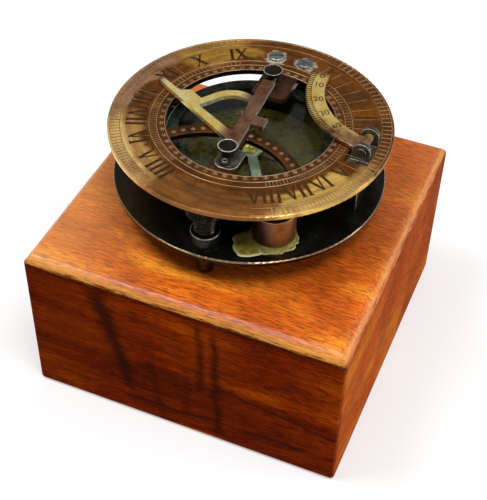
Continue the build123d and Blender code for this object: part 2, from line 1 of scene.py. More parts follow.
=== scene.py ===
# %% [markdown]
# # An inclining sundial compass on its wooden case
# The object is a brass dial that stands on three levelling screws on the lid of a square, oiled
# wooden case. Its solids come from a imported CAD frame, in metres, with +Z up and +Y to the dial's
# north. This lesson dresses that frame: worn edges, engraving, patina, wood grain and studio light.

# %% Load the frame
import json
from functools import partial
from math import cos, radians, sin

import bmesh
import bpy
from mathutils import Matrix, Vector, noise

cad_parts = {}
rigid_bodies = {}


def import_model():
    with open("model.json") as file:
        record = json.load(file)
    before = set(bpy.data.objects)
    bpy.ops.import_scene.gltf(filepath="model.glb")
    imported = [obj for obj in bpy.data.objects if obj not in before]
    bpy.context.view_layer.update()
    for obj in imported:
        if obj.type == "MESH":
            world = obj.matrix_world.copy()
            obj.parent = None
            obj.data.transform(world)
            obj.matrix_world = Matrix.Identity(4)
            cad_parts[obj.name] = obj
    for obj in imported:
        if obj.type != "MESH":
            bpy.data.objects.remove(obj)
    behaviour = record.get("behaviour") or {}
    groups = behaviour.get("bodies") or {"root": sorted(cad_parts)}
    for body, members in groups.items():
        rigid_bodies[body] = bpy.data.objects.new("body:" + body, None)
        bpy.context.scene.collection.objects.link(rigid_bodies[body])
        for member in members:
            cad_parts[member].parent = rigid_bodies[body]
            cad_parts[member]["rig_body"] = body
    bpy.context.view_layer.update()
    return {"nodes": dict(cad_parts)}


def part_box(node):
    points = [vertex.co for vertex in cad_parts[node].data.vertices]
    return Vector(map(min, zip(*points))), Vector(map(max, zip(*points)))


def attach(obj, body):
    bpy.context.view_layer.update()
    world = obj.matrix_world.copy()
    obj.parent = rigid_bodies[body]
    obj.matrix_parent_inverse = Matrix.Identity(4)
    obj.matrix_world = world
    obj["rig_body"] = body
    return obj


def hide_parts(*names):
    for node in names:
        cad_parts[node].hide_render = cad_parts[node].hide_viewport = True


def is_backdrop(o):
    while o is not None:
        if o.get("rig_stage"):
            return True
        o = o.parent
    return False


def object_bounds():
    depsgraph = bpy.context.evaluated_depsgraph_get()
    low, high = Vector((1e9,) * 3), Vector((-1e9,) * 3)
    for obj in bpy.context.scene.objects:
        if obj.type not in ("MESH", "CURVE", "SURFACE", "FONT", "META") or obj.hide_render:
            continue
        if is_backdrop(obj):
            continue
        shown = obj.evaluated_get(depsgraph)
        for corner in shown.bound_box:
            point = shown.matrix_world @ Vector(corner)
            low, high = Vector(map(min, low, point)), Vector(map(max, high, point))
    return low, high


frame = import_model()
nodes = frame["nodes"]
scene = bpy.context.scene
scene.view_settings.view_transform = "Standard"
MM = 0.001
DIAL_NORTH = 2.0  # the dial's upright axis stands this many millimetres north of the case's middle

# %% [markdown]
# ## Small tools
# Colours are written as the sRGB codes that a colour picker shows, and shaders want linear light,
# so one function converts them. A second one adds a node, sets it and links it in one line, which
# keeps every material below short enough to read from top to bottom; tied to one tree, it is called
# add. Sockets are given by name, or as a list in the order in which the node shows them: a Noise
# Texture takes its place, scale, detail and roughness, a Map Range takes its value, the range it
# comes from and the range it goes to. A node's mode may follow: a Math that names none multiplies.

# %% Colour and node tools
SOFT = "SMOOTHSTEP"  # the mode of a Map Range that eases in and out
MODES = {  # the setting that is these nodes' mode, and its usual value
    "Math": ("operation", "MULTIPLY"), "VectorMath": ("operation", "MULTIPLY"),
    "Mix": ("data_type", "RGBA"), "MapRange": ("interpolation_type", "LINEAR")}


def linear(code):
    """An sRGB hex code as linear red, green, blue and alpha."""
    shares = [int(code[at:at + 2], 16) / 255 for at in (1, 3, 5)]
    return [s / 12.92 if s <= 0.04045 else ((s + 0.055) / 1.055) ** 2.4 for s in shares] + [1.0]


def add_to(tree, kind, sockets=(), mode=None, **settings):
    """A new node; its sockets take values, colour codes, outputs, or nodes for their first output."""
    made = tree.nodes.new(kind if "Node" in kind else "ShaderNode" + kind)
    if kind in MODES:
        name, usual = MODES[kind]
        settings[name] = mode or usual
    for name, value in settings.items():
        setattr(made, name, value)
    if isinstance(sockets, dict):
        pairs = [(made.inputs[name], value) for name, value in sockets.items()]
    else:
        pairs = zip([socket for socket in made.inputs if socket.enabled], sockets)
    for socket, value in pairs:
        if isinstance(value, bpy.types.Node):
            value = next(output for output in value.outputs if output.enabled)
        if isinstance(value, bpy.types.NodeSocket):
            tree.links.new(value, socket)
        else:
            socket.default_value = linear(value) if isinstance(value, str) else value
    return made


def blank(name):
    """A material with an empty tree, and the function that adds nodes to that tree."""
    material = bpy.data.materials.new(name)
    material.use_nodes = True
    material.node_tree.nodes.clear()
    return material, partial(add_to, material.node_tree)


def skinned(add, height, strength, depth_mm, sockets):
    """Close a material with a bump of this height on a Principled skin with these sockets."""
    relief = add("Bump", {"Height": height, "Strength": strength, "Distance": depth_mm * MM})
    skin = add("BsdfPrincipled", {**sockets, "Normal": relief})
    add("OutputMaterial", [skin])


print("sRGB mid grey is", round(linear("#808080")[0], 3), "in linear light")

# %% [markdown]
# ## Camera
# The photograph looks down on the south-east corner from about arm's length. The place, the turn
# and the focal length were worked out from the outlines of the ring, the plate and the case, and
# the small roll is that of a camera held by hand. A matrix built from the three camera axes is
# plainer than a chain of rotations.

# %% Set the camera
CAMERA_AT = Vector((115.82, -292.39, 347.39)) * MM
AZIMUTH, ELEVATION, ROLL = radians(21.74), radians(44.46), radians(1.45)
FOCAL_PIXELS, FRAME_PIXELS, SENSOR = 1144.4, 500, 36.0
back = Vector((sin(AZIMUTH) * cos(ELEVATION), -cos(AZIMUTH) * cos(ELEVATION), sin(ELEVATION)))
level = Vector((cos(AZIMUTH), sin(AZIMUTH), 0))
right = level * cos(ROLL) + back.cross(level) * sin(ROLL)
turn = Matrix((right, back.cross(right), back)).transposed().to_4x4()
lens = bpy.data.cameras.new("camera")
lens.sensor_width = SENSOR
lens.lens = FOCAL_PIXELS * SENSOR / FRAME_PIXELS
lens.clip_start = 0.01
camera = bpy.data.objects.new("camera", lens)
camera.matrix_world = Matrix.Translation(CAMERA_AT) @ turn
scene.collection.objects.link(camera)
scene.camera = camera
print("lens in mm:", round(lens.lens, 1))

# %% [markdown]
# ## Studio light and floor
# The picture was lit by soft light from overhead, a weaker light from the east, and little from the
# front, so the front of the case is dark. The world is dim at the horizon and bright only round
# the zenith, which keeps polished faces dark until they turn upwards, and three area lamps give
# shadows and sheen. The floor is grey-white paper; the rest of its white is added only for what
# looks at it directly or in a mirror, so the shadow stays and the object gets no extra light.

# %% Light the studio
def looked_at(add):
    """1 for a ray from the eye, straight, mirrored or through glass; 0 for light on its way."""
    seen = add("LightPath").outputs
    straight = add("Math", [seen["Is Camera Ray"], seen["Is Glossy Ray"]], "MAXIMUM")
    return add("Math", [straight, seen["Is Transmission Ray"]], "MAXIMUM")


world = bpy.data.worlds.new("studio")
scene.world = world
world.use_nodes = True
world.node_tree.nodes.clear()
add = partial(add_to, world.node_tree)
LIGHT_FROM = Vector((0.0, 0.10, 0.99)).normalized()
way = add("TexCoord").outputs["Generated"]
facing = add("VectorMath", [way, LIGHT_FROM], "DOT_PRODUCT")
overhead = add("MapRange", [facing, 0.72, 1.0, 0.16, 0.86], SOFT)
rise = add("SeparateXYZ", [way]).outputs["Z"]
horizon = add("MapRange", [rise, 0.22, 0.04, 0.0, 0.40], SOFT)
strength = add("Math", [horizon, looked_at(add), overhead], "MULTIPLY_ADD")
glow = add("Background", {"Color": "#FFFFFF", "Strength": strength})
add("OutputWorld", [glow])

AIM_AT = Vector((0, 0, 0.07))
LAMPS = (  # name, place in metres, size in metres, watts
    ("west overhead", (-0.40, -0.20, 1.06), 0.35, 4.6),
    ("east overhead", (0.34, -0.26, 1.07), 0.35, 4.6),
    ("east fill", (1.00, 0.25, 0.40), 0.45, 3.2),
)
for lamp_name, lamp_at, lamp_size, watts in LAMPS:
    lamp = bpy.data.lights.new(lamp_name, "AREA")
    lamp.energy, lamp.size = watts, lamp_size
    holder = bpy.data.objects.new(lamp_name, lamp)
    holder.location = lamp_at
    holder.rotation_euler = (AIM_AT - Vector(lamp_at)).to_track_quat("-Z", "Y").to_euler()
    scene.collection.objects.link(holder)
print("lamps:", [lamp[0] for lamp in LAMPS])

# %% Lay the floor
FLOOR_HALF, FLOOR_DROP, FLOOR_LIFT = 4.0, 0.0003, 0.42
# Uncoated paper: an even, matt white.
paper, add = blank("white paper floor")
lift = add("Math", [looked_at(add), FLOOR_LIFT])
sheet = add("BsdfDiffuse", {"Color": "#D0D0D0"})
white = add("Emission", {"Color": "#FFFFFF", "Strength": lift})
both = add("AddShader", [sheet, white])
add("OutputMaterial", [both])
floor_mesh = bpy.data.meshes.new("floor")
floor_mesh.from_pydata(
    [(x * FLOOR_HALF, y * FLOOR_HALF, -FLOOR_DROP) for x, y in ((-1, -1), (1, -1), (1, 1), (-1, 1))],
    [], [(0, 1, 2, 3)])
floor_mesh.materials.append(paper)
floor = bpy.data.objects.new("floor", floor_mesh)
scene.collection.objects.link(floor)
floor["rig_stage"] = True
print("floor laid")

# %% [markdown]
# ## Oiled hardwood
# The case is a red-brown hardwood, planed, rounded over along the lid's edges and oiled. The eye
# sees three scales: slow bands a few centimetres long, fibres under a millimetre wide, and short
# dark pores. Noise stretched along the board gives all three: along X, or along Y where a face looks
# east or west. The front is darker, partly by a darker stain and partly by painted shade, and has a
# few marked streaks, drawn as soft lines with a wobble.

# %% Mix the wood
GRAIN_TURN = (0, 0, radians(-4.0))
SIDE_BEGINS, SIDE_FULL = 58.2 * MM, 59.9 * MM  # from the case's middle to its upright faces
END_FACING = 0.71  # a normal leans further than this to the east or west on the end boards
STREAK_FADE = 4  # mm at either end of a streak
STREAKS = (  # runs along, slope, offset mm, half width mm, from mm, to mm, strength
    ("Z", -0.26, -16.0, 5.6, 14.0, 60.0, 0.85),
    ("Z", -0.06, 10.4, 2.6, 26.0, 60.0, 0.65),
    ("Z", -0.03, 14.8, 3.0, 4.0, 58.0, 0.70),
    ("Z", -0.05, -9.0, 2.6, 8.0, 36.0, 0.30),
    ("Z", -0.04, 3.0, 2.4, 8.0, 30.0, 0.28),
    ("X", 0.06, 9.6, 1.4, -22.0, 50.0, 0.70),
    ("X", -0.18, 33.6, 1.6, 14.0, 60.0, 0.60),
)
# Oiled hardwood: a warm red brown, banded along the grain, with a low sheen.
oiled_wood, add = blank("oiled red hardwood")
place = add("TexCoord").outputs["Object"]
x, y, z = add("SeparateXYZ", [place]).outputs
normal = add("NewGeometry").outputs["Normal"]
outward = add("SeparateXYZ", [normal]).outputs["X"]
endward = add("Math", [outward], "ABSOLUTE")
on_end = add("Math", [endward, END_FACING], "GREATER_THAN")
turned = add("CombineXYZ", [y, x, z])
board = add("Mix", [on_end, place, turned], "VECTOR")
grain, short_grain = [
    add("Mapping", {"Vector": board, "Rotation": GRAIN_TURN, "Scale": (squeeze, 1, 1)})
    for squeeze in (0.10, 0.12)]
bands = add("TexNoise", {
    "Vector": grain, "Scale": 1 / (11 * MM), "Detail": 4.0, "Roughness": 0.55, "Distortion": 0.6})
clouds = add("TexNoise", [place, 1 / (34 * MM), 3.0])
fibres = add("TexNoise", [grain, 1 / (0.7 * MM), 5.0, 0.75])
pores = add("TexNoise", [short_grain, 1 / (0.5 * MM), 4.0, 0.6])
sideways = add("Math", [x], "ABSOLUTE")
flank = add("MapRange", [sideways, SIDE_BEGINS, SIDE_FULL], SOFT)
band_share, cloud_share = [add("MapRange", [pattern, 0.37, 0.65], SOFT) for pattern in (bands, clouds)]
thick = add("Math", [clouds, -0.22, pores], "MULTIPLY_ADD")
pore_share = add("MapRange", [thick, 0.37, 0.50], SOFT)
warm = add("Mix", [band_share, "#E86C14", "#FF9C2C"])
rich = add("Mix", [cloud_share, "#D05E12", warm])
fibre_share = add("MapRange", [fibres, 0.32, 0.68, 0.52, 1.44])
combed = add("VectorMath", [rich, fibre_share])
pore_depth = add("Math", [pore_share, 0.62])
pored = add("Mix", [pore_depth, combed, "#6A2408"])
print("wood grain mixed; streaks to draw:", len(STREAKS))

# %% Stain the front board, paint shade on it and sheen on the top, and draw its streaks
front = add("MapRange", [y, -SIDE_BEGINS, -SIDE_FULL], SOFT)
flank_stain = add("Mix", [flank, "#FFFFFF", "#DCD2CE"])
# The front board's darker stain is partly painted shade.
stain_and_front_shade = add("Mix", [front, flank_stain, "#A87C30"])
# Painted sheen: a pale colour lightens the top towards its west end and in its north-east corner.
sheen_west = add("MapRange", [x, -8 * MM, -62 * MM, 0.0, 0.42], SOFT)
on_top = add("MapRange", [z, 61 * MM, 65 * MM], SOFT)
eastward = add("MapRange", [x, 25 * MM, 60 * MM, 0.0, 0.18], SOFT)
northward = add("MapRange", [y, -22 * MM, 30 * MM], SOFT)
corner = add("Math", [eastward, northward])
painted_sheen_reach = add("Math", [sheen_west, corner], "MAXIMUM")
paled = add("Math", [painted_sheen_reach, on_top])
painted_sheen = add("Mix", [paled, pored, "#E6A468"])
stained_and_painted_light = add("VectorMath", [painted_sheen, stain_and_front_shade])
uneven = add("MapRange", [bands, 0.34, 0.66, 0.55, 1.45])
# The front board is darker towards its west end.
darker_to_west = add("MapRange", [x, -18 * MM, -46 * MM, 1.0, 0.74], SOFT)
patchy = add("Math", [uneven, darker_to_west])
mottle = add("Mix", [front, 1.0, patchy], "FLOAT")
shade = add("VectorMath", [stained_and_painted_light, mottle])
wobble = add("TexNoise", [place, 1 / (9 * MM), 4.0])
wander = add("MapRange", [wobble, 0.0, 1.0, -3.0 * MM, 3.0 * MM])
for runs, slope, offset, half, low, high, strength in STREAKS:
    across, along = (x, z) if runs == "Z" else (z, x)
    line = add("Math", [along, -slope, across], "MULTIPLY_ADD")
    off = add("Math", [line, offset * MM], "SUBTRACT")
    bent = add("Math", [off, wander], "ADD")
    gap = add("Math", [bent], "ABSOLUTE")
    dark = add("MapRange", [gap, half * MM, 0.0, 0.0, strength], SOFT)
    begins = add("MapRange", [along, (low - STREAK_FADE) * MM, (low + STREAK_FADE) * MM], SOFT)
    ends = add("MapRange", [along, (high + STREAK_FADE) * MM, (high - STREAK_FADE) * MM], SOFT)
    window = add("Math", [begins, ends])
    shown = add("Math", [dark, window])
    on_front = add("Math", [shown, front])
    shade = add("Mix", [on_front, shade, "#2E0E04"])
print("front board stained")

# %% Wear the rounded edge, paint a highlight on it, and finish the wood
ARRIS = 61.9 * MM  # height of the line where the lid's rounding meets its upright faces
torn = add("MapRange", [fibres, 0.36, 0.64, -1.1 * MM, 1.1 * MM])
torn_z = add("Math", [z, torn], "ADD")
edge_up = add("MapRange", [torn_z, 62.3 * MM, 63.2 * MM], SOFT)
edge_down = add("MapRange", [z, 65.6 * MM, 64.2 * MM], SOFT)
edge = add("Math", [edge_up, edge_down])
# The pale band on the rounded edge is partly wear and partly a painted highlight, golden on the front and
# pink on the ends.
combed_edge = add("MapRange", [fibres, 0.36, 0.64, 0.25, 0.90])
edge_wear_highlight_share = add("Math", [edge, combed_edge])
edge_wear_and_highlight = add("Mix", [flank, "#FFB452", "#E89468"])
rubbed = add("Mix", [edge_wear_highlight_share, shade, edge_wear_and_highlight])
below = add("Math", [z, ARRIS], "SUBTRACT")
from_arris = add("Math", [below], "ABSOLUTE")
broken = add("MapRange", [fibres, 0.40, 0.60, 0.1 * MM, 1.0 * MM])
in_line = add("Math", [broken, from_arris], "GREATER_THAN")
on_arris = add("Math", [in_line, front])
arris_share = add("Math", [on_arris, 0.75])
rubbed = add("Mix", [arris_share, rubbed, "#3A1606"])
upright = add("Math", [front, flank], "MAXIMUM")
crest = add("MapRange", [z, 66.0 * MM, 65.6 * MM, 0.30, 0.80])
polish = add("Mix", [upright, crest, 0.012], "FLOAT")
worn_dull = add("MapRange", [upright, 0.0, 1.0, 0.24, 0.50])
gloss = add("Math", [fibres, 0.24, worn_dull], "MULTIPLY_ADD")
height = add("Math", [pore_share, -0.7, fibres], "MULTIPLY_ADD")
skinned(add, height, 0.35, 0.12, {
    "Base Color": rubbed, "Roughness": gloss, "IOR": 1.48, "Specular IOR Level": polish})
print("wood nodes:", len(oiled_wood.node_tree.nodes))

# %% [markdown]
# ## Toned metals
# Every metal here was polished once, toned with chemicals and then rubbed in use. One recipe makes
# the family: broad patches between a deep and a middle tone, fine rubbed spots in a pale tone, hair
# scratches in the roughness, and a very fine bump. Spots are drawn near half a millimetre, coarser
# than the real grit, because finer ones would vanish in the picture.

# %% Mix the metals
def toned_metal(name, deep, middle, pale, patch_mm, rough, metallic=1.0, spots=0.35):
    """A polished, toned and rubbed metal."""
    material, add = blank(name)
    place = add("TexCoord").outputs["Object"]
    patches = add("TexNoise", [place, 1 / (patch_mm * MM), 7.0, 0.62])
    tone = add("MapRange", [patches, 0.36, 0.62], SOFT)
    body = add("Mix", [tone, deep, middle])
    grit = add("TexNoise", [place, 1 / (0.55 * MM), 4.0, 0.7])
    rubs = add("MapRange", [grit, 0.50, 0.72, 0.0, spots])
    colour = add("Mix", [rubs, body, pale])
    drawn = add("Mapping", {"Vector": place, "Rotation": (0, 0, radians(37)), "Scale": (0.06, 1, 1)})
    scratches = add("TexNoise", [drawn, 1 / (0.3 * MM), 3.0])
    dull = add("MapRange", [scratches, 0.3, 0.7, rough * 0.75, rough * 1.3])
    skinned(add, grit, 0.18, 0.04, {"Base Color": colour, "Metallic": metallic, "Roughness": dull})
    return material


# Antiqued brass, chemically browned: hinge bracket.
brown_brass = toned_metal("browned brass", "#3A2410", "#6B4420", "#A07840", 7, 0.36)
# Brass whose edges were rubbed bright by handling.
bright_edge = toned_metal("rubbed bright brass", "#B08A50", "#D8B880", "#F0DCB0", 5, 0.28, 0.75)
# Blackened brass, showing through on the ridges: bosses, posts, rivet and ring rest.
dark_screw = toned_metal("blackened brass", "#14120E", "#2A241A", "#6B543A", 3, 0.34, 0.7)
# Plain steel, turned and dull: pins, small screws and turned rims.
steel = toned_metal("dull turned steel", "#767A72", "#A8ACA2", "#E0E2DA", 4, 0.32, 0.9)
# Steel seen through the green glass: needle and pivot, painted much paler than steel as a painted
# highlight that makes up for the shade under the ring and glass.
needle_steel_painted_pale = toned_metal("grey magnet steel", "#C8C0AC", "#EAE2D0", "#FFFAEE", 5, 0.34, 0.5)
# Steel gone brown and black in the hollows: strap, clevis and arc pin.
dark_steel = toned_metal("darkened steel", "#4A463E", "#807A70", "#C0BAAE", 3, 0.36, 0.85)
# Turned brass left bright: needle cap, painted paler still as a painted highlight that makes up for the
# shade it sits in.
polished_brass_painted_bright = toned_metal("polished brass", "#D8A848", "#F8D478", "#FFF2C0", 4, 0.26, 0.5)
# Brass greyed under a green film, still bright where it was turned: bezel of the compass glass.
bezel_brass = toned_metal("greyed turned brass", "#24302A", "#56685C", "#A4B4A6", 5, 0.24, 0.9)
# Cream bloom on the rims of the posts, the clevis, the strap and the gnomon, and a painted highlight on
# the gnomon's east faces.
cream_rim_and_highlight = toned_metal("bloomed rim", "#B8AE9C", "#DED6C6", "#F6F2E8", 3, 0.34, 0.6)
# Ring metal in the shade of its own bore.
ring_wall = toned_metal("shaded ring wall", "#1E1008", "#38200E", "#5A3C20", 4, 0.45)
# Levelling screws, black in the cuts of the knurl and bright on its points.
knurl_metal = toned_metal("blackened knurl", "#1E1C16", "#4A463A", "#A89C80", 1.2, 0.30)
# Brass gone green-black round the glass: compass bowl.
green_brass = toned_metal("greened brass", "#141C18", "#303E36", "#6A7A6E", 6, 0.30)
# Pale cut brass, where a graver went through the toning.
cut_brass = toned_metal("freshly cut brass", "#B08C60", "#DCB88C", "#FAE4C0", 6, 0.36, 0.8)
# Cut lines that browned again.
worn_line = toned_metal("browned cut line", "#8C6844", "#C09A70", "#ECD0A8", 4, 0.40, 0.8)
# The hinge's tongue, a violet brown where the toning bath ran thin.
tongue_brass = toned_metal("violet toned brass", "#46281A", "#6C4630", "#94806E", 6, 0.36, 0.9, 0.25)
# Card brass, mottled with age, and the lines etched through its mottling.
card_brass = toned_metal("mottled card brass", "#1C1406", "#664816", "#C89A40", 2.6, 0.5, 0.5, 0.5)
etched_gold = toned_metal("etched card brass", "#7A5C20", "#A8842E", "#D8B85A", 4, 0.36)


def engraving_wax(name, paled):
    """Dark wax and dirt left in deep strokes, rubbed to a faded tone towards the east."""
    material, add = blank(name)
    place = add("TexCoord").outputs["Object"]
    dirt = add("TexNoise", [place, 1 / (1.2 * MM), 4.0])
    full = add("Mix", [dirt, "#140C05", "#4A3218"])
    x = add("SeparateXYZ", [place]).outputs["X"]
    eastward = add("MapRange", [x, -14 * MM, 14 * MM, 0.0, 0.65], SOFT)
    colour = add("Mix", [eastward, full, paled])
    skin = add("BsdfPrincipled", {"Base Color": colour, "Roughness": 0.8, "Specular IOR Level": 0.1})
    add("OutputMaterial", [skin])
    return material


# Wax in the latitude numbers, kept dark, and in the hour numerals, half rubbed out in the east.
wax_fill = engraving_wax("dark engraving wax", "#2A1C0E")
numeral_wax = engraving_wax("rubbed engraving wax", "#4C3014")
print("metals and waxes mixed; materials so far:", len(bpy.data.materials))

# %% [markdown]
# ## The ring's own brass
# The hour ring is the eye's first stop. Its toning is brown to the north-east and at the south, and
# hands have rubbed it golden to the north-west, south-west and south-east and coppery to the west.
# Masks made from the angle round the dial place that wear on the ring itself, with noise to break
# their borders. Pale flakes of old polish are left round the two screws of the hinge leaf.

# %% Mix the ring's brass
DIAL_Y = DIAL_NORTH * MM
LEAF_SCREWS, LEAF_SCREW_Y = (-5.65, 5.65), 38.7  # mm from the dial's axis
WEAR_CORE, WEAR_FADE = 0.55, 3  # share of the half angle that is fully rubbed, and fade inwards in mm
WEAR = (  # middle angle from north, half angle, inner radius mm, strength, tone
    (-84, 36, 41.0, 0.95, "#CA9670"),
    (-37, 23, 35.0, 1.0, "#CE9A3C"),
    (-134, 28, 36.0, 0.75, "#E6B266"),
    (-132, 24, 42.0, 1.00, "#FFD080"),
    (131, 25, 38.0, 1.0, "#F6C868"),
    (118, 26, 42.0, 0.70, "#E6B45A"),
    (180, 50, 36.0, 0.18, "#C89458"),
)
# Antiqued brass: a satin brown that turns to gold where it is rubbed.
ring_brass, add = blank("antiqued dial brass")
place = add("TexCoord").outputs["Object"]
centred = add("VectorMath", [place, (0, -DIAL_Y, 0)], "ADD")
apart = add("SeparateXYZ", [centred]).outputs
flat = add("VectorMath", [centred, (1, 1, 0)])
radius = add("VectorMath", [flat], "LENGTH")
angle = add("Math", [apart["X"], apart["Y"]], "ARCTAN2")
patches = add("TexNoise", [place, 1 / (13 * MM), 6.0, 0.6])
grit = add("TexNoise", [place, 1 / (0.7 * MM), 4.0, 0.7])
tone = add("MapRange", [patches, 0.36, 0.64], SOFT)
colour = add("Mix", [tone, "#6E3B0A", "#92520E"])
drift = add("MapRange", [patches, 0.3, 0.7, radians(-11), radians(11)])
strayed = add("Math", [angle, drift], "ADD")
bent = add("MapRange", [patches, 0.3, 0.7, -3.5 * MM, 3.5 * MM])
edge = add("Math", [radius, bent], "ADD")
for middle, half, inner, strength, rubbed_tone in WEAR:
    gone = add("Math", [strayed, radians(middle)], "SUBTRACT")
    wrapped = add("Math", [gone, radians(180), radians(-180)], "WRAP")
    gap = add("Math", [wrapped], "ABSOLUTE")
    near = add("MapRange", [gap, radians(half), radians(half * WEAR_CORE), 0.0, strength], SOFT)
    outer = add("MapRange", [edge, inner * MM, (inner + WEAR_FADE) * MM], SOFT)
    mask = add("Math", [near, outer])
    broken = add("MapRange", [patches, 0.25, 0.55, 0.55, 1.0])
    share = add("Math", [mask, broken])
    colour = add("Mix", [share, colour, rubbed_tone])
rubs = add("MapRange", [grit, 0.50, 0.74, 0.0, 0.24])
colour = add("Mix", [rubs, colour, "#B0843E"])
along = add("Math", [angle, 2.2])
across = add("Math", [radius, 1 / (2.6 * MM)])
swept = add("CombineXYZ", [along, across])
wipes = add("TexNoise", [swept, 1.0, 5.0, 0.65])
wiped = add("MapRange", [wipes, 0.34, 0.66, 0.60, 1.34])
shaded = add("MapRange", [radius, 28 * MM, 36 * MM, 0.42, 1.0])
depth = add("Math", [wiped, shaded])
colour = add("VectorMath", [colour, depth], "SCALE")
flakes = add("TexNoise", [place, 1 / (2.4 * MM), 4.0, 0.7])
ragged = add("MapRange", [flakes, 0.35, 0.65, 2.9 * MM, 5.2 * MM])
for screw_x in LEAF_SCREWS:
    screw_at = (screw_x * MM, LEAF_SCREW_Y * MM, 0)
    from_screw = add("VectorMath", [flat, screw_at], "DISTANCE")
    inside = add("Math", [ragged, from_screw], "SUBTRACT")
    crusted = add("MapRange", [inside, 0.0, 0.5 * MM, 0.0, 0.85])
    colour = add("Mix", [crusted, colour, "#DAD6C6"])
dull = add("MapRange", [grit, 0.3, 0.7, 0.28, 0.46])
skinned(add, grit, 0.2, 0.05, {"Base Color": colour, "Metallic": 0.7, "Roughness": dull})
print("ring brass nodes:", len(ring_brass.node_tree.nodes))

# %% [markdown]
# ## Gnomon, arc and cup
# The folding parts were rubbed to a pale gold where fingers lift them, and kept a copper-brown tone
# near their hinges. One material for each reads how far a point lies along X or Y. The level's
# copper cup has the same recipe, giving painted shade on its west side and a painted highlight to the
# east.

# %% Mix the folding brasses and the copper
def hinge_toned(name, brown_mm, gold_mm, axis, gold, pale, brown, tip_mm, earth="#6A4028"):
    """Pale metal, brown near its hinge and again past its tip, along one axis; on the copper cup the brown
    side is painted shade and the pale side a painted highlight.
    """
    material, add = blank(name)
    place = add("TexCoord").outputs["Object"]
    apart = add("SeparateXYZ", [place]).outputs
    patches = add("TexNoise", [place, 1 / (5 * MM), 6.0, 0.65])
    shift = add("MapRange", [patches, 0.0, 1.0, -3.0 * MM, 3.0 * MM])
    there = add("Math", [apart[axis], shift], "ADD")
    golden = add("MapRange", [there, brown_mm * MM, gold_mm * MM], SOFT)
    short = add("MapRange", [there, tip_mm * MM, (tip_mm * 0.85 + gold_mm * 0.15) * MM], SOFT)
    golden = add("Math", [golden, short])
    tone = add("MapRange", [patches, 0.38, 0.66])
    bright = add("Mix", [tone, gold, pale])
    dark = add("Mix", [tone, earth, brown])
    colour = add("Mix", [golden, dark, bright])
    grit = add("TexNoise", [place, 1 / (0.6 * MM), 4.0, 0.7])
    dull = add("MapRange", [grit, 0.3, 0.7, 0.24, 0.42])
    skinned(add, grit, 0.08, 0.04, {"Base Color": colour, "Metallic": 0.65, "Roughness": dull})
    return material


cup_low, cup_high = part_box("level_cup")
cup_middle = (cup_low + cup_high) / 2
CUP_X = cup_middle.x / MM
# Brass of the gnomon and the latitude arc, toned and rubbed to gold.
gnomon_brass = hinge_toned("gnomon brass", -3.5, -9.0, "X", "#F6CC5C", "#FFF2B4", "#98745A", -38.5)
arc_brass = hinge_toned("arc brass", 5.0, 12.0, "Y", "#E6BC54", "#FAE498", "#B08058", 36.5)
# Copper sheet drawn into a cup, with painted shade on its west side and a painted highlight to the east.
copper = hinge_toned(
    "toned copper", CUP_X - 1.5, CUP_X + 6.0, "X", "#94602E", "#A87440", "#421C0A", 90.0, "#38160A")
print("folding brasses and copper mixed")

# %% [markdown]
# ## Black plate, glass, spirit and cement
# The base plate was blackened and lacquered, and its rim is rubbed to tan metal. Both panes of glass
# let lamp light through to what lies below them, by a transparent shader that only shadow rays see.
# The cement round the level's cup is an olive resin that dried with a pale skin at its thin edges.

# %% Mix the plate, glass and cement
# Brass plate, blackened and lacquered, bare along its lip.
black_plate, add = blank("black lacquered plate")
place = add("TexCoord").outputs["Object"]
centred = add("VectorMath", [place, (0, -DIAL_Y, 0)], "ADD")
flat = add("VectorMath", [centred, (1, 1, 0)])
radius = add("VectorMath", [flat], "LENGTH")
dust = add("TexNoise", [place, 1 / (6 * MM), 8.0, 0.7])
specks = add("TexNoise", [place, 1 / (0.8 * MM), 3.0])
haze = add("MapRange", [dust, 0.4, 0.7])
lacquer = add("Mix", [haze, "#070705", "#17190F"])
ragged = add("MapRange", [specks, 0.0, 1.0, -0.25 * MM, 0.25 * MM])
reach = add("Math", [radius, ragged], "ADD")
rim = add("MapRange", [reach, 48.55 * MM, 48.8 * MM], SOFT)
up = add("SeparateXYZ", [place]).outputs["Z"]
lip = add("MapRange", [up, 78.4 * MM, 78.65 * MM], SOFT)
side = add("Mix", [lip, "#2A2018", "#A08260"])
colour = add("Mix", [rim, lacquer, side])
dull = add("MapRange", [dust, 0.0, 1.0, 0.12, 0.36])
skin = add("BsdfPrincipled", {"Base Color": colour, "Metallic": rim, "Roughness": dull, "IOR": 1.5})
add("OutputMaterial", [skin])


def clear_pane(name, tint, rough, ior):
    """Glass or spirit that lets lamp light through."""
    material, add = blank(name)
    place = add("TexCoord").outputs["Object"]
    smear = add("TexNoise", [place, 1 / (9 * MM), 5.0])
    dull = add("MapRange", [smear, 0.45, 0.8, rough, rough + 0.06])
    pane = add("BsdfPrincipled", {
        "Base Color": tint, "Roughness": dull, "IOR": ior, "Specular IOR Level": 0.06,
        "Transmission Weight": 1.0})
    passing = add("BsdfTransparent", {"Color": tint})
    shadow = add("LightPath").outputs["Is Shadow Ray"]
    mixed = add("MixShader", [shadow, pane, passing])
    add("OutputMaterial", [mixed])
    return material


# Clear air in the level, faintly green glass for both panes, and the level's yellow-green spirit.
bubble_air = clear_pane("air bubble", "#FFFFFF", 0.0, 1.05)
pane_glass = clear_pane("green tinted glass", "#DCEEE6", 0.01, 1.5)
spirit = clear_pane("yellow-green spirit", "#C8D878", 0.0, 1.36)

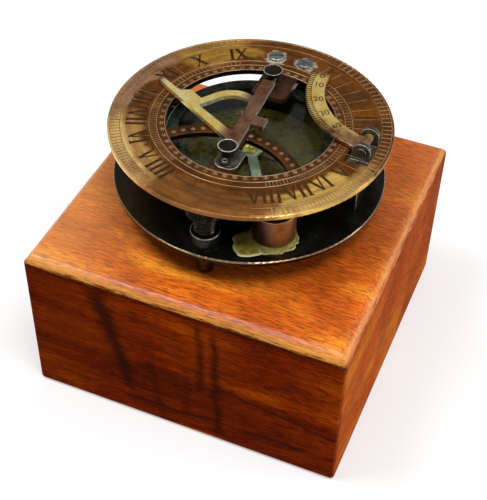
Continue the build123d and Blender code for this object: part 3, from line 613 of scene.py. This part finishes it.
# Resin cement, olive in the mass and pale at its thin foot.
cement, add = blank("olive resin cement")
place = add("TexCoord").outputs["Object"]
lumps = add("TexNoise", [place, 1 / (2.2 * MM), 6.0, 0.65])
crust = add("MapRange", [lumps, 0.38, 0.66])
resin = add("Mix", [crust, "#76661A", "#B4A848"])
above = add("SeparateXYZ", [place]).outputs["Z"]
thin = add("MapRange", [above, 79.55 * MM, 79.15 * MM], SOFT)
colour = add("Mix", [thin, resin, "#E2DC9C"])
skinned(add, lumps, 0.6, 0.2, {"Base Color": colour, "Roughness": 0.38, "IOR": 1.53})
print("plate, glass, spirit and cement mixed")

# %% [markdown]
# ## Worn edges on the CAD pieces
# A machined solid has knife edges, and a used one never does: each edge is a thin rounded band that
# catches the light and is rubbed brighter than the faces. A copy of each CAD node is merged, its
# flat triangles are dissolved into whole faces, and a Bevel modifier rounds what is left. The bevel
# puts its band in the second material slot, so the wear is geometry as well as colour.

# %% Tools for finished pieces
def plain_mesh(thing):
    """The mesh that an object shows, with its modifiers worked in."""
    graph = bpy.context.evaluated_depsgraph_get()
    return bpy.data.meshes.new_from_object(thing.evaluated_get(graph))


def settled(piece):
    """Turn a piece's modifiers into its plain mesh."""
    mesh = plain_mesh(piece)
    piece.modifiers.clear()
    piece.data = mesh
    return piece


def smooth(piece, sharp=34.0):
    """Smooth shading that keeps creases sharper than this angle."""
    piece.data.polygons.foreach_set("use_smooth", [True] * len(piece.data.polygons))
    piece.data.set_sharp_from_angle(angle=radians(sharp))
    return piece


def linked(name, mesh, *finishes):
    """A new object at the origin with its finishes."""
    piece = bpy.data.objects.new(name, mesh)
    scene.collection.objects.link(piece)
    for finish in finishes:
        mesh.materials.append(finish)
    return piece


def cast(name, shell, *finishes):
    """A new object from a bmesh, which is used up."""
    mesh = bpy.data.meshes.new(name)
    shell.to_mesh(mesh)
    shell.free()
    return linked(name, mesh, *finishes)


def stands_for(piece, name):
    """Say which CAD node this piece stands for; it hides that node and takes its body."""
    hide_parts(name)
    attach(piece, nodes[name]["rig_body"])
    return piece


def softened(name, finish, edge_finish, edge_mm):
    """A copy of a CAD node with worn, rounded edges."""
    shell = bmesh.new()
    shell.from_mesh(nodes[name].data)
    bmesh.ops.remove_doubles(shell, verts=shell.verts, dist=0.002 * MM)
    bmesh.ops.dissolve_limit(shell, angle_limit=radians(0.5), verts=shell.verts, edges=shell.edges)
    piece = cast(name + "_worn", shell, finish, edge_finish)
    worn = piece.modifiers.new("worn edges", "BEVEL")
    worn.width, worn.segments = edge_mm * MM, 2
    worn.limit_method, worn.angle_limit = "ANGLE", radians(30)
    worn.material = 1
    smooth(settled(piece))
    flat = piece.modifiers.new("flat faces stay flat", "WEIGHTED_NORMAL")
    flat.keep_sharp = True
    return settled(piece)


print("finishing tools ready")

# %% Finish the plain pieces
EAST_FACING = 0.7  # the gnomon's faces take the cream rim finish as a painted highlight where a normal leans further east than this
PLAIN = (  # node, finish, edge finish, edge in mm
    ("case_body", oiled_wood, oiled_wood, 0.08),
    ("case_lid", oiled_wood, oiled_wood, 0.08),
    ("base_plate", black_plate, black_plate, 0.15),
    ("plate_screws", steel, steel, 0.15),
    ("levelling_bosses", dark_screw, steel, 0.35),
    ("compass_bowl", green_brass, bright_edge, 0.2),
    ("compass_card", card_brass, card_brass, 0.1),
    ("needle_pivot", needle_steel_painted_pale, needle_steel_painted_pale, 0.08),
    ("needle", needle_steel_painted_pale, bright_edge, 0.14),
    ("needle_cap", polished_brass_painted_bright, polished_brass_painted_bright, 0.15),
    ("glass_bezel", bezel_brass, steel, 0.3),
    ("level_cup", copper, bright_edge, 0.2),
    ("hinge_bracket", brown_brass, bright_edge, 0.2),
    ("hinge_pin", steel, steel, 0.15),
    ("hinge_leaf", tongue_brass, bright_edge, 0.2),
    ("leaf_screws", steel, steel, 0.12),
    ("south_strap", dark_steel, cream_rim_and_highlight, 0.15),
    ("south_rivet", dark_screw, dark_screw, 0.12),
    ("gnomon_post_north", dark_screw, cream_rim_and_highlight, 0.22),
    ("gnomon_post_south", dark_screw, cream_rim_and_highlight, 0.34),
    ("gnomon", gnomon_brass, cream_rim_and_highlight, 0.2),
    ("gnomon_pins", steel, steel, 0.08),
    ("ring_rest", dark_screw, bright_edge, 0.25),
    ("arc_clevis", dark_steel, cream_rim_and_highlight, 0.3),
    ("arc_pin", dark_steel, steel, 0.15),
    ("latitude_arc", arc_brass, bright_edge, 0.18),
)
made = {}
for name, finish, edge_finish, edge_mm in PLAIN:
    made[name] = stands_for(softened(name, finish, edge_finish, edge_mm), name)
for name, finish in (("compass_glass", pane_glass), ("level_glass", pane_glass), ("level_fluid", spirit)):
    nodes[name].data.materials.clear()
    nodes[name].data.materials.append(finish)
# Painted highlight: the gnomon's faces that look east take the cream rim finish.
for face in made["gnomon"].data.polygons:
    if face.normal.x > EAST_FACING:
        face.material_index = 1
print("pieces with worn edges:", len(made))

# %% [markdown]
# ## Marks that repeat round an arc
# Scales and star borders are one idea: a small shape set many times along an arc. A Geometry Nodes
# tree does it once for all of them. Its inputs are the number of places, the first and last angle
# from north, the radius, the bar's length, width and height, and how many bars cross at each place:
# one bar makes a scale, three make a star.

# %% Build the marks tree
def new_tree(name, **inputs):
    """A Geometry Nodes tree with inputs of these kinds, its adder, and the sockets that hand them in."""
    tree = bpy.data.node_groups.new(name, "GeometryNodeTree")
    for label, kind in inputs.items():
        tree.interface.new_socket(label, in_out="INPUT", socket_type="NodeSocket" + kind)
    tree.interface.new_socket("Geometry", in_out="OUTPUT", socket_type="NodeSocketGeometry")
    return tree, partial(add_to, tree), add_to(tree, "NodeGroupInput").outputs


marks, add, given = new_tree(
    "marks round an arc", Places="Int", First="Float", Last="Float", Radius="Float", Length="Float",
    Width="Float", Height="Float", Bars="Int", Middle="Vector", Finish="Material")
index = add("GeometryNodeInputIndex")
sweep = add("Math", [given["Last"], given["First"]], "SUBTRACT")
gaps = add("Math", [given["Places"], 1.0], "SUBTRACT")
step = add("Math", [sweep, gaps], "DIVIDE")
bearing = add("Math", [index, step, given["First"]], "MULTIPLY_ADD")
east = add("Math", [bearing], "SINE")
north = add("Math", [bearing], "COSINE")
heading = add("CombineXYZ", [east, north])
spoke = add("VectorMath", [heading, given["Radius"]], "SCALE")
spot = add("VectorMath", [spoke, given["Middle"]], "ADD")
places = add("GeometryNodePoints", {"Count": given["Places"], "Position": spot})
size = add("CombineXYZ", [given["Width"], given["Length"], given["Height"]])
bar = add("GeometryNodeMeshCube", {"Size": size})
hub = add("GeometryNodePoints", {"Count": given["Bars"]})
fan_step = add("Math", [radians(180), given["Bars"]], "DIVIDE")
fan = add("Math", [index, fan_step])
fan_turn = add("CombineXYZ", [0.0, 0.0, fan])
star = add("GeometryNodeInstanceOnPoints", {"Points": hub, "Instance": bar, "Rotation": fan_turn})
back_turn = add("Math", [bearing, -1.0])
mark_turn = add("CombineXYZ", [0.0, 0.0, back_turn])
row = add("GeometryNodeInstanceOnPoints", {"Points": places, "Instance": star, "Rotation": mark_turn})
real = add("GeometryNodeRealizeInstances", [row])
coated = add("GeometryNodeSetMaterial", {"Geometry": real, "Material": given["Finish"]})
add("NodeGroupOutput", [coated])


def grown(name, group, **sizes):
    """Run a node group with these inputs and keep the plain mesh."""
    piece = linked(name, bpy.data.meshes.new(name))
    grower = piece.modifiers.new(name, "NODES")
    grower.node_group = group
    for item in group.interface.items_tree:
        if item.in_out == "INPUT":
            grower[item.identifier] = sizes[item.name]
    return settled(piece)


def marks_on(name, middle, places, first, last, radius, length, width, finish, bars=1, proud=0.05):
    """One row of marks, in millimetres and degrees."""
    return grown(
        name, marks, Places=places, First=radians(first), Last=radians(last), Radius=radius * MM,
        Length=length * MM, Width=width * MM, Height=2 * proud * MM, Bars=bars,
        Middle=Vector(middle) * MM, Finish=finish)


def joined(name, pieces):
    """Several plain meshes as one piece; each keeps its finishes."""
    shell = bmesh.new()
    finishes = []
    for piece in pieces:
        start = len(shell.faces)
        shell.from_mesh(piece.data)
        shell.faces.ensure_lookup_table()
        own = list(piece.data.materials)
        for face in shell.faces[start:]:
            finish = own[face.material_index]
            if finish not in finishes:
                finishes.append(finish)
            face.material_index = finishes.index(finish)
        bpy.data.objects.remove(piece)
    return cast(name, shell, *finishes)


print("marks tree has", len(marks.nodes), "nodes")

# %% [markdown]
# ## Arcs of engraved line
# The scales lie between fine circles. A second small tree sweeps a flat bar along an arc.

# %% Build the line tree
ARC_STEPS = 160
ALL_ROUND = (-180, 179.9)  # first and last angle of a circle, a hair short of meeting itself
lines, add, given = new_tree(
    "line along an arc", Start="Float", Sweep="Float", Radius="Float", Width="Float", Height="Float",
    Middle="Vector", Finish="Material")
arc = add("GeometryNodeCurveArc", {
    "Resolution": ARC_STEPS, "Radius": given["Radius"], "Start Angle": given["Start"],
    "Sweep Angle": given["Sweep"]})
moved = add("GeometryNodeTransform", {"Geometry": arc, "Translation": given["Middle"]})
section = add("GeometryNodeCurvePrimitiveQuadrilateral", {
    "Width": given["Width"], "Height": given["Height"]})
strip = add("GeometryNodeCurveToMesh", {"Curve": moved, "Profile Curve": section, "Fill Caps": True})
coated = add("GeometryNodeSetMaterial", {"Geometry": strip, "Material": given["Finish"]})
add("NodeGroupOutput", [coated])


def line_on(name, middle, first, last, radius, width, finish, proud=0.05):
    """One arc of line, with angles from north, in millimetres and degrees."""
    return grown(
        name, lines, Start=radians(90 - last), Sweep=radians(last - first), Radius=radius * MM,
        Width=width * MM, Height=2 * proud * MM, Middle=Vector(middle) * MM, Finish=finish)


print("line tree has", len(lines.nodes), "nodes")

# %% [markdown]
# ## The hour ring
# The numerals are cut deep and filled with dark wax; the scales are fine lines cut through the
# toning to bright metal. Deep strokes are worth real grooves, so a Boolean takes stroke-shaped
# cutters out of the ring: cut walls are bright and floors are dark. The fine lines are too shallow
# for that, and lie as thin bright strips.

# %% Cut the numerals
SERIF_HALF = 0.03


def serif(left, right, across):
    """The corners of a thin bar over a letter's foot, at 0, or over its head, at 1."""
    foot, head = across - SERIF_HALF, across + SERIF_HALF
    return (left, foot), (right, foot), (right, head), (left, head)


RING_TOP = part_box("hour_ring")[1].z
RING_EDGE, UPRIGHT = 49 * MM, 0.3  # walls inside this radius, whose normals hardly rise, are shaded
NUMERAL_FOOT, NUMERAL_TALL, NUMERAL_DEEP, CUTTER_PROUD = 43.3, 6.6, 0.3, 0.5
STROKES = {  # width in mm, then strokes as corners across and up, in shares of width and height
    "I": (2.4, (((0.26, 0), (0.74, 0), (0.74, 1), (0.26, 1)), serif(0.10, 0.90, 0), serif(0.10, 0.90, 1))),
    "V": (4.6, (((0.00, 1), (0.44, 0), (0.64, 0), (0.30, 1)), ((0.46, 0), (0.60, 0), (0.96, 1), (0.80, 1)),
                serif(-0.04, 0.34, 1), serif(0.70, 1.0, 1))),
    "X": (4.8, (((0.00, 1), (0.70, 0), (1.00, 0), (0.30, 1)), ((0.02, 0), (0.18, 0), (0.96, 1), (0.80, 1)),
                serif(-0.04, 0.34, 1), serif(0.68, 1.0, 1), serif(0.64, 1.02, 0), serif(-0.04, 0.28, 0))),
}
HOURS = (  # numeral and its angle from north
    ("I", 22), ("II", 45.7), ("III", 67.6), ("IIII", 89), ("V", 109.6), ("VI", 122.3), ("VII", 135),
    ("VIII", 151.3), ("XI", -29.2), ("X", -51), ("IX", -72), ("VIII", -95.9), ("VII", -111.5),
    ("VI", -127.4), ("V", -141.9), ("IIII", -153.7))
shell = bmesh.new()
for numeral, bearing in HOURS:
    out = Vector((sin(radians(bearing)), cos(radians(bearing)), 0))
    side = Vector((-out.y, out.x, 0))
    across = -sum(STROKES[letter][0] for letter in numeral) / 2
    for letter in numeral:
        wide, strokes = STROKES[letter]
        for stroke in strokes:
            corners = [out * (NUMERAL_FOOT - v * NUMERAL_TALL) + side * (across + u * wide)
                       + Vector((0, DIAL_NORTH, 0)) for u, v in stroke]
            low, high = [
                [shell.verts.new(corner * MM + Vector((0, 0, RING_TOP + rise * MM))) for corner in corners]
                for rise in (-NUMERAL_DEEP, CUTTER_PROUD)]
            shell.faces.new(low).material_index = 1
            shell.faces.new(high)
            for at in range(len(low)):
                after = (at + 1) % len(low)
                shell.faces.new((low[at], low[after], high[after], high[at]))
        across += wide
bmesh.ops.recalc_face_normals(shell, faces=shell.faces)
cutter = cast("numeral_cutters", shell, cut_brass, numeral_wax)
ring = softened("hour_ring", ring_brass, bright_edge, 0.25)
ring.data.materials.append(ring_wall)
for face in ring.data.polygons:
    from_axis = (Vector((face.center.x, face.center.y)) - Vector((0, DIAL_Y))).length
    if abs(face.normal.z) < UPRIGHT and from_axis < RING_EDGE:
        face.material_index = 2
cut = ring.modifiers.new("numerals", "BOOLEAN")
cut.object, cut.operation, cut.solver = cutter, "DIFFERENCE", "EXACT"
cut.use_self = True
cut.material_mode = "TRANSFER"
settled(ring)
bpy.data.objects.remove(cutter)
stands_for(ring, "hour_ring")
print("ring faces after cutting:", len(ring.data.polygons))

# %% Engrave the ring's scales and borders
top = (0.0, DIAL_NORTH, RING_TOP / MM)
bridge_top = (0.0, -37.4, RING_TOP / MM)
HOUR_PARTS = 8
rows = [
    marks_on("star border", top, 57, -180, 173.7, 31.1, 1.9, 0.30, cut_brass, bars=3),
    marks_on("hour lines east", top, 13, 12, 104, 39.8, 7.6, 0.20, cut_brass),
    marks_on("hour lines west", top, 9, -140, -40, 39.8, 7.6, 0.16, cut_brass),
    line_on("outer line", top, -158, 158, 45.6, 0.24, worn_line),
    line_on("rim line", top, -158, 158, 49.1, 0.26, cut_brass),
    line_on("inner line", top, *ALL_ROUND, 35.5, 0.24, cut_brass),
    line_on("middle line", top, *ALL_ROUND, 32.9, 0.24, cut_brass),
    line_on("border line", top, *ALL_ROUND, 30.05, 0.24, cut_brass),
    marks_on("bridge stars", bridge_top, 15, -44, 44, 31.4, 1.7, 0.28, cut_brass, bars=3),
]
east_hours = [bearing for numeral, bearing in HOURS if bearing > 0]
west_hours = [bearing for numeral, bearing in HOURS if bearing < 0]
for hours, cut_finish in ((east_hours, cut_brass), (west_hours, worn_line)):
    for start, end in zip(hours, hours[1:]):
        last = end - (end - start) / HOUR_PARTS
        rows.append(marks_on("outer scale", top, HOUR_PARTS, start, last, 47.4, 3.2, 0.42, cut_finish))
        rows.append(marks_on("inner scale", top, HOUR_PARTS, start, last, 34.2, 2.2, 0.32, worn_line))
CAPS = (  # node, mark on its top, radius mm, width mm, finish
    ("gnomon_post_north", "cap rim", 3.37, 0.22, cream_rim_and_highlight),
    ("gnomon_post_south", "cap rim", 3.27, 0.42, cream_rim_and_highlight),
    ("south_rivet", "rivet ring", 0.85, 0.6, steel),
)
for name, mark, mark_radius, wide, finish in CAPS:
    low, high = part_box(name)
    cap_top = ((low.x + high.x) / 2 / MM, (low.y + high.y) / 2 / MM, high.z / MM)
    rows.append(line_on(mark, cap_top, *ALL_ROUND, mark_radius, wide, finish, proud=0.04))
engraving = joined("ring_engraving", rows)
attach(engraving, "ring")
print("engraving faces:", len(engraving.data.polygons))

# %% [markdown]
# ## The latitude arc's scale
# The arc carries a scale of latitude along its outer edge, between two fine lines, and a number at
# every tenth degree. The numbers come from Blender's built-in letter shapes, made into meshes before
# they are placed. They read from the outer edge towards the arc's own centre.

# %% Engrave the latitude arc
arc_middle = (44.8, 34.5, 102.2)
INK_PROUD, NUMBER_TALL, NUMBER_RADIUS = 0.03, 3.7, 30.1
NUMBERS = (("0", 180.5), ("10", 191.0), ("20", 207.0), ("30", 223.0), ("40", 238.5))
rows = [
    marks_on("latitude ticks", arc_middle, 33, -152, -88, 33.4, 1.9, 0.42, wax_fill, proud=INK_PROUD),
    line_on("latitude inner line", arc_middle, -157, -87, 32.45, 0.22, wax_fill, proud=INK_PROUD),
    line_on("latitude outer line", arc_middle, -157, -87, 34.2, 0.18, wax_fill, proud=INK_PROUD),
]
for number, bearing in NUMBERS:  # bearings from east, anticlockwise
    letters = bpy.data.curves.new("number " + number, "FONT")
    letters.body, letters.size, letters.extrude = number, NUMBER_TALL * MM, INK_PROUD * MM
    letters.align_x, letters.align_y = "CENTER", "CENTER"
    holder = bpy.data.objects.new("number " + number, letters)
    scene.collection.objects.link(holder)
    mesh = plain_mesh(holder)
    bpy.data.objects.remove(holder)
    inward = Matrix.Rotation(radians(bearing - 180), 4, "Z")
    way = Vector((cos(radians(bearing)), sin(radians(bearing)), 0))
    mesh.transform(Matrix.Translation((Vector(arc_middle) + NUMBER_RADIUS * way) * MM) @ inward)
    rows.append(linked("number_" + number, mesh, wax_fill))
arc_scale = joined("arc_scale", rows)
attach(arc_scale, "arc")
print("arc scale faces:", len(arc_scale.data.polygons))

# %% [markdown]
# ## Levelling screws
# A levelling screw is turned from rod: a rounded foot, a thread and a wheel that a rolling tool has
# knurled into small diamonds. The turned body is a profile spun round its axis. The knurl is a
# third Geometry Nodes tree: rows of four-sided points round a drum, every other row half a step on.

# %% Build the knurl tree
knurl, add, given = new_tree(
    "knurled drum", Around="Int", Rows="Int", Radius="Float", Pitch="Float", Tall="Float",
    Bottom="Vector", Finish="Material")
index = add("GeometryNodeInputIndex")
total = add("Math", [given["Around"], given["Rows"]])
in_rows = add("Math", [index, given["Around"]], "DIVIDE")
row_at = add("Math", [in_rows], "FLOOR")
odd = add("Math", [row_at, 2.0], "MODULO")
place_at = add("Math", [odd, 0.5, index], "MULTIPLY_ADD")
one = add("Math", [radians(360), given["Around"]], "DIVIDE")
bearing = add("Math", [place_at, one])
east = add("Math", [bearing], "COSINE")
north = add("Math", [bearing], "SINE")
half_pitch = add("Math", [given["Pitch"], 0.5])
rise = add("Math", [row_at, half_pitch])
outward = add("CombineXYZ", [east, north])
arm = add("VectorMath", [outward, given["Radius"]], "SCALE")
upward = add("CombineXYZ", [0.0, 0.0, rise])
on_drum = add("VectorMath", [arm, upward], "ADD")
spot = add("VectorMath", [on_drum, given["Bottom"]], "ADD")
drum = add("GeometryNodePoints", {"Count": total, "Position": spot})
point = add("GeometryNodeMeshCone", {
    "Vertices": 4, "Radius Top": 0.0, "Radius Bottom": half_pitch, "Depth": given["Tall"]})
turned_out = add("FunctionNodeAlignRotationToVector", {"Vector": outward}, axis="Z")
studs = add("GeometryNodeInstanceOnPoints", {"Points": drum, "Instance": point, "Rotation": turned_out})
real = add("GeometryNodeRealizeInstances", [studs])
coated = add("GeometryNodeSetMaterial", {"Geometry": real, "Material": given["Finish"]})
add("NodeGroupOutput", [coated])
print("knurl tree has", len(knurl.nodes), "nodes")

# %% Turn and knurl the levelling screws
LATHE_STEPS, WHEEL_FOOT = 72, 93.1
THREAD_ROOT, THREAD_CREST, THREAD_FOOT, THREAD_RISE, THREAD_POINTS = 3.4, 3.78, 85.2, 0.45, 16
SCREWS = ("levelling_screw_south", "levelling_screw_northeast", "levelling_screw_northwest")


def spun(name, profile, middle, finish):
    """A turned piece: radius and height pairs spun round an upright axis."""
    shell = bmesh.new()
    points = [shell.verts.new((middle[0] + r * MM, middle[1], z * MM)) for r, z in profile]
    edges = [shell.edges.new(pair) for pair in zip(points, points[1:])]
    bmesh.ops.spin(shell, geom=points + edges, cent=(middle[0], middle[1], 0), axis=(0, 0, 1),
                   angle=radians(360), steps=LATHE_STEPS)
    bmesh.ops.remove_doubles(shell, verts=shell.verts, dist=0.004 * MM)
    bmesh.ops.recalc_face_normals(shell, faces=shell.faces)
    return smooth(cast(name, shell, finish))


foot = [(0, 66.0), (1.6, 66.0), (2.4, 66.2), (2.85, 66.7), (3.0, 67.4), (3.0, 85.0), (3.6, 85.0)]
thread = [(THREAD_ROOT if at % 2 else THREAD_CREST, THREAD_FOOT + THREAD_RISE * at)
          for at in range(THREAD_POINTS)]
wheel = [(3.6, 92.3), (3.6, 92.5), (5.6, 92.5), (6.0, 92.8), (6.0, 97.3), (5.6, 97.6), (0, 97.6)]
for name in SCREWS:
    lowest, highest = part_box(name)
    middle = (lowest + highest) / 2
    body = spun(name + "_turned", foot + thread + wheel, middle, knurl_metal)
    studs = grown(
        name + "_knurl", knurl, Around=44, Rows=10, Radius=6.18 * MM, Pitch=0.86 * MM, Tall=0.42 * MM,
        Bottom=Vector((middle.x, middle.y, WHEEL_FOOT * MM)), Finish=knurl_metal)
    stands_for(joined(name + "_knurled", [body, studs]), name)
print("levelling screws turned:", len(SCREWS))

# %% [markdown]
# ## Cement round the level
# The cup was bedded in resin that spread in lobes and shrank as it set. It is drawn as rings of
# points round the cup: the inner ring climbs the wall, the outer one thins to nothing, and a fixed
# noise makes the border ragged.

# %% Spread the cement
CEMENT_REACH = (8.4, 8.3, 8.2, 8.0, 8.0, 8.0, 8.2, 14.0, 15.0, 8.8, 8.0, 8.2)  # mm, from east
CUP_OUTER, CEMENT_FOOT, LEAST_SPREAD, MORE_SPREAD = 7.52, 79.0, 0.6, 0.3
CEMENT_TALL, CEMENT_CLIMB, LUMP_TALL, LUMP_RATE = 0.75, 1.3, 0.35, 0.55
SPOKES, RINGS = 144, 12
LOBES = ((0.8, 2.6), (0.5, 6.0))  # height in mm and rate of the border's noise
foot = Vector((cup_middle.x, cup_middle.y, CEMENT_FOOT * MM))
shell = bmesh.new()
grid = []
for at in range(SPOKES):
    share = at / SPOKES * len(CEMENT_REACH)
    first, part = int(share), share - int(share)
    eased = part * part * (3 - 2 * part)
    reach = CEMENT_REACH[first] * (1 - eased) + CEMENT_REACH[(first + 1) % len(CEMENT_REACH)] * eased
    way = Vector((cos(radians(360 * at / SPOKES)), sin(radians(360 * at / SPOKES)), 0))
    reach += sum(tall * noise.noise(way * rate) for tall, rate in LOBES) + MORE_SPREAD
    column = []
    for ring_at in range(RINGS + 1):
        out = ring_at / RINGS
        r = CUP_OUTER + (max(reach, CUP_OUTER + LEAST_SPREAD) - CUP_OUTER) * out
        lump = LUMP_TALL * noise.noise(way * r * LUMP_RATE)
        tall = (CEMENT_TALL + CEMENT_CLIMB * (1 - out) ** 6 + lump) * (1 - out ** 5)
        column.append(shell.verts.new(foot + way * r * MM + Vector((0, 0, max(tall, 0.0) * MM))))
    column.append(shell.verts.new(foot + way * CUP_OUTER * MM))
    grid.append(column)
for at in range(SPOKES):
    here, after = grid[at], grid[(at + 1) % SPOKES]
    for ring_at in range(len(here)):
        further = (ring_at + 1) % len(here)
        shell.faces.new((here[ring_at], here[further], after[further], after[ring_at]))
bmesh.ops.recalc_face_normals(shell, faces=shell.faces)
smear = smooth(cast("cement_smear", shell, cement), 60)
stands_for(smear, "level_cement")
print("cement faces:", len(smear.data.polygons))

# %% [markdown]
# ## Bubble of the level
# A flattened ball of air rests under the level's glass, a little off the middle.

# %% Float the bubble
BUBBLE_RADIUS, BUBBLE_FLAT, BUBBLE_Z = 2.3, 0.3, 88.8
BUBBLE_EAST, BUBBLE_NORTH = 0.8, 0.5  # from the cup's middle
bubble_at = (cup_middle.x + BUBBLE_EAST * MM, cup_middle.y + BUBBLE_NORTH * MM, BUBBLE_Z * MM)
shell = bmesh.new()
bmesh.ops.create_uvsphere(shell, u_segments=32, v_segments=16, radius=BUBBLE_RADIUS * MM)
bmesh.ops.scale(shell, verts=shell.verts, vec=(1, 1, BUBBLE_FLAT))
bmesh.ops.translate(shell, verts=shell.verts, vec=bubble_at)
bubble = smooth(cast("level_bubble", shell, bubble_air))
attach(bubble, "compass")
print("bubble faces:", len(bubble.data.polygons))

# %% [markdown]
# ## Compass card
# The card is etched with a degree circle and an eight-pointed star whose points are split into a
# light and a dark half, the way engravers give flat metal a ridge.

# %% Etch the card
card_middle = (0.0, DIAL_NORTH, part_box("compass_card")[1].z / MM)
STAR_POINTS = ((17.0, 4.2, 0.05), (12.5, 3.4, 0.03))  # reach, waist and lift of long and short points
shell = bmesh.new()
for at in range(8):
    reach, waist, lift = STAR_POINTS[at % 2]
    way = radians(45 * at)
    tip = Vector((sin(way), cos(way), 0)) * reach
    for side, tint in ((-1, 0), (1, 1)):
        hip = Vector((sin(way + side * radians(45)), cos(way + side * radians(45)), 0)) * waist
        face = shell.faces.new([
            shell.verts.new((Vector(card_middle) + corner + Vector((0, 0, lift))) * MM)
            for corner in (Vector((0, 0, 0)), hip, tip)])
        face.material_index = tint
        face.normal_update()
        if face.normal.z < 0:
            face.normal_flip()
etching = [
    cast("card_star", shell, etched_gold, wax_fill),
    marks_on("degree marks", card_middle, 73, -180, 180, 23.6, 1.6, 0.26, etched_gold),
    marks_on("ten degree marks", card_middle, 37, -180, 180, 21.6, 2.4, 0.34, etched_gold),
    line_on("degree circle", card_middle, *ALL_ROUND, 22.8, 0.26, etched_gold),
    line_on("edge circle", card_middle, *ALL_ROUND, 24.6, 0.26, etched_gold),
    line_on("star circle", card_middle, *ALL_ROUND, 18.4, 0.3, etched_gold),
]
card_marks = joined("card_marks", etching)
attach(card_marks, "compass")
print("card marks faces:", len(card_marks.data.polygons))

# %% Measure the sizes and finish
low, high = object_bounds()
print("visual size in mm:", [round(v / MM, 2) for v in (high - low)])
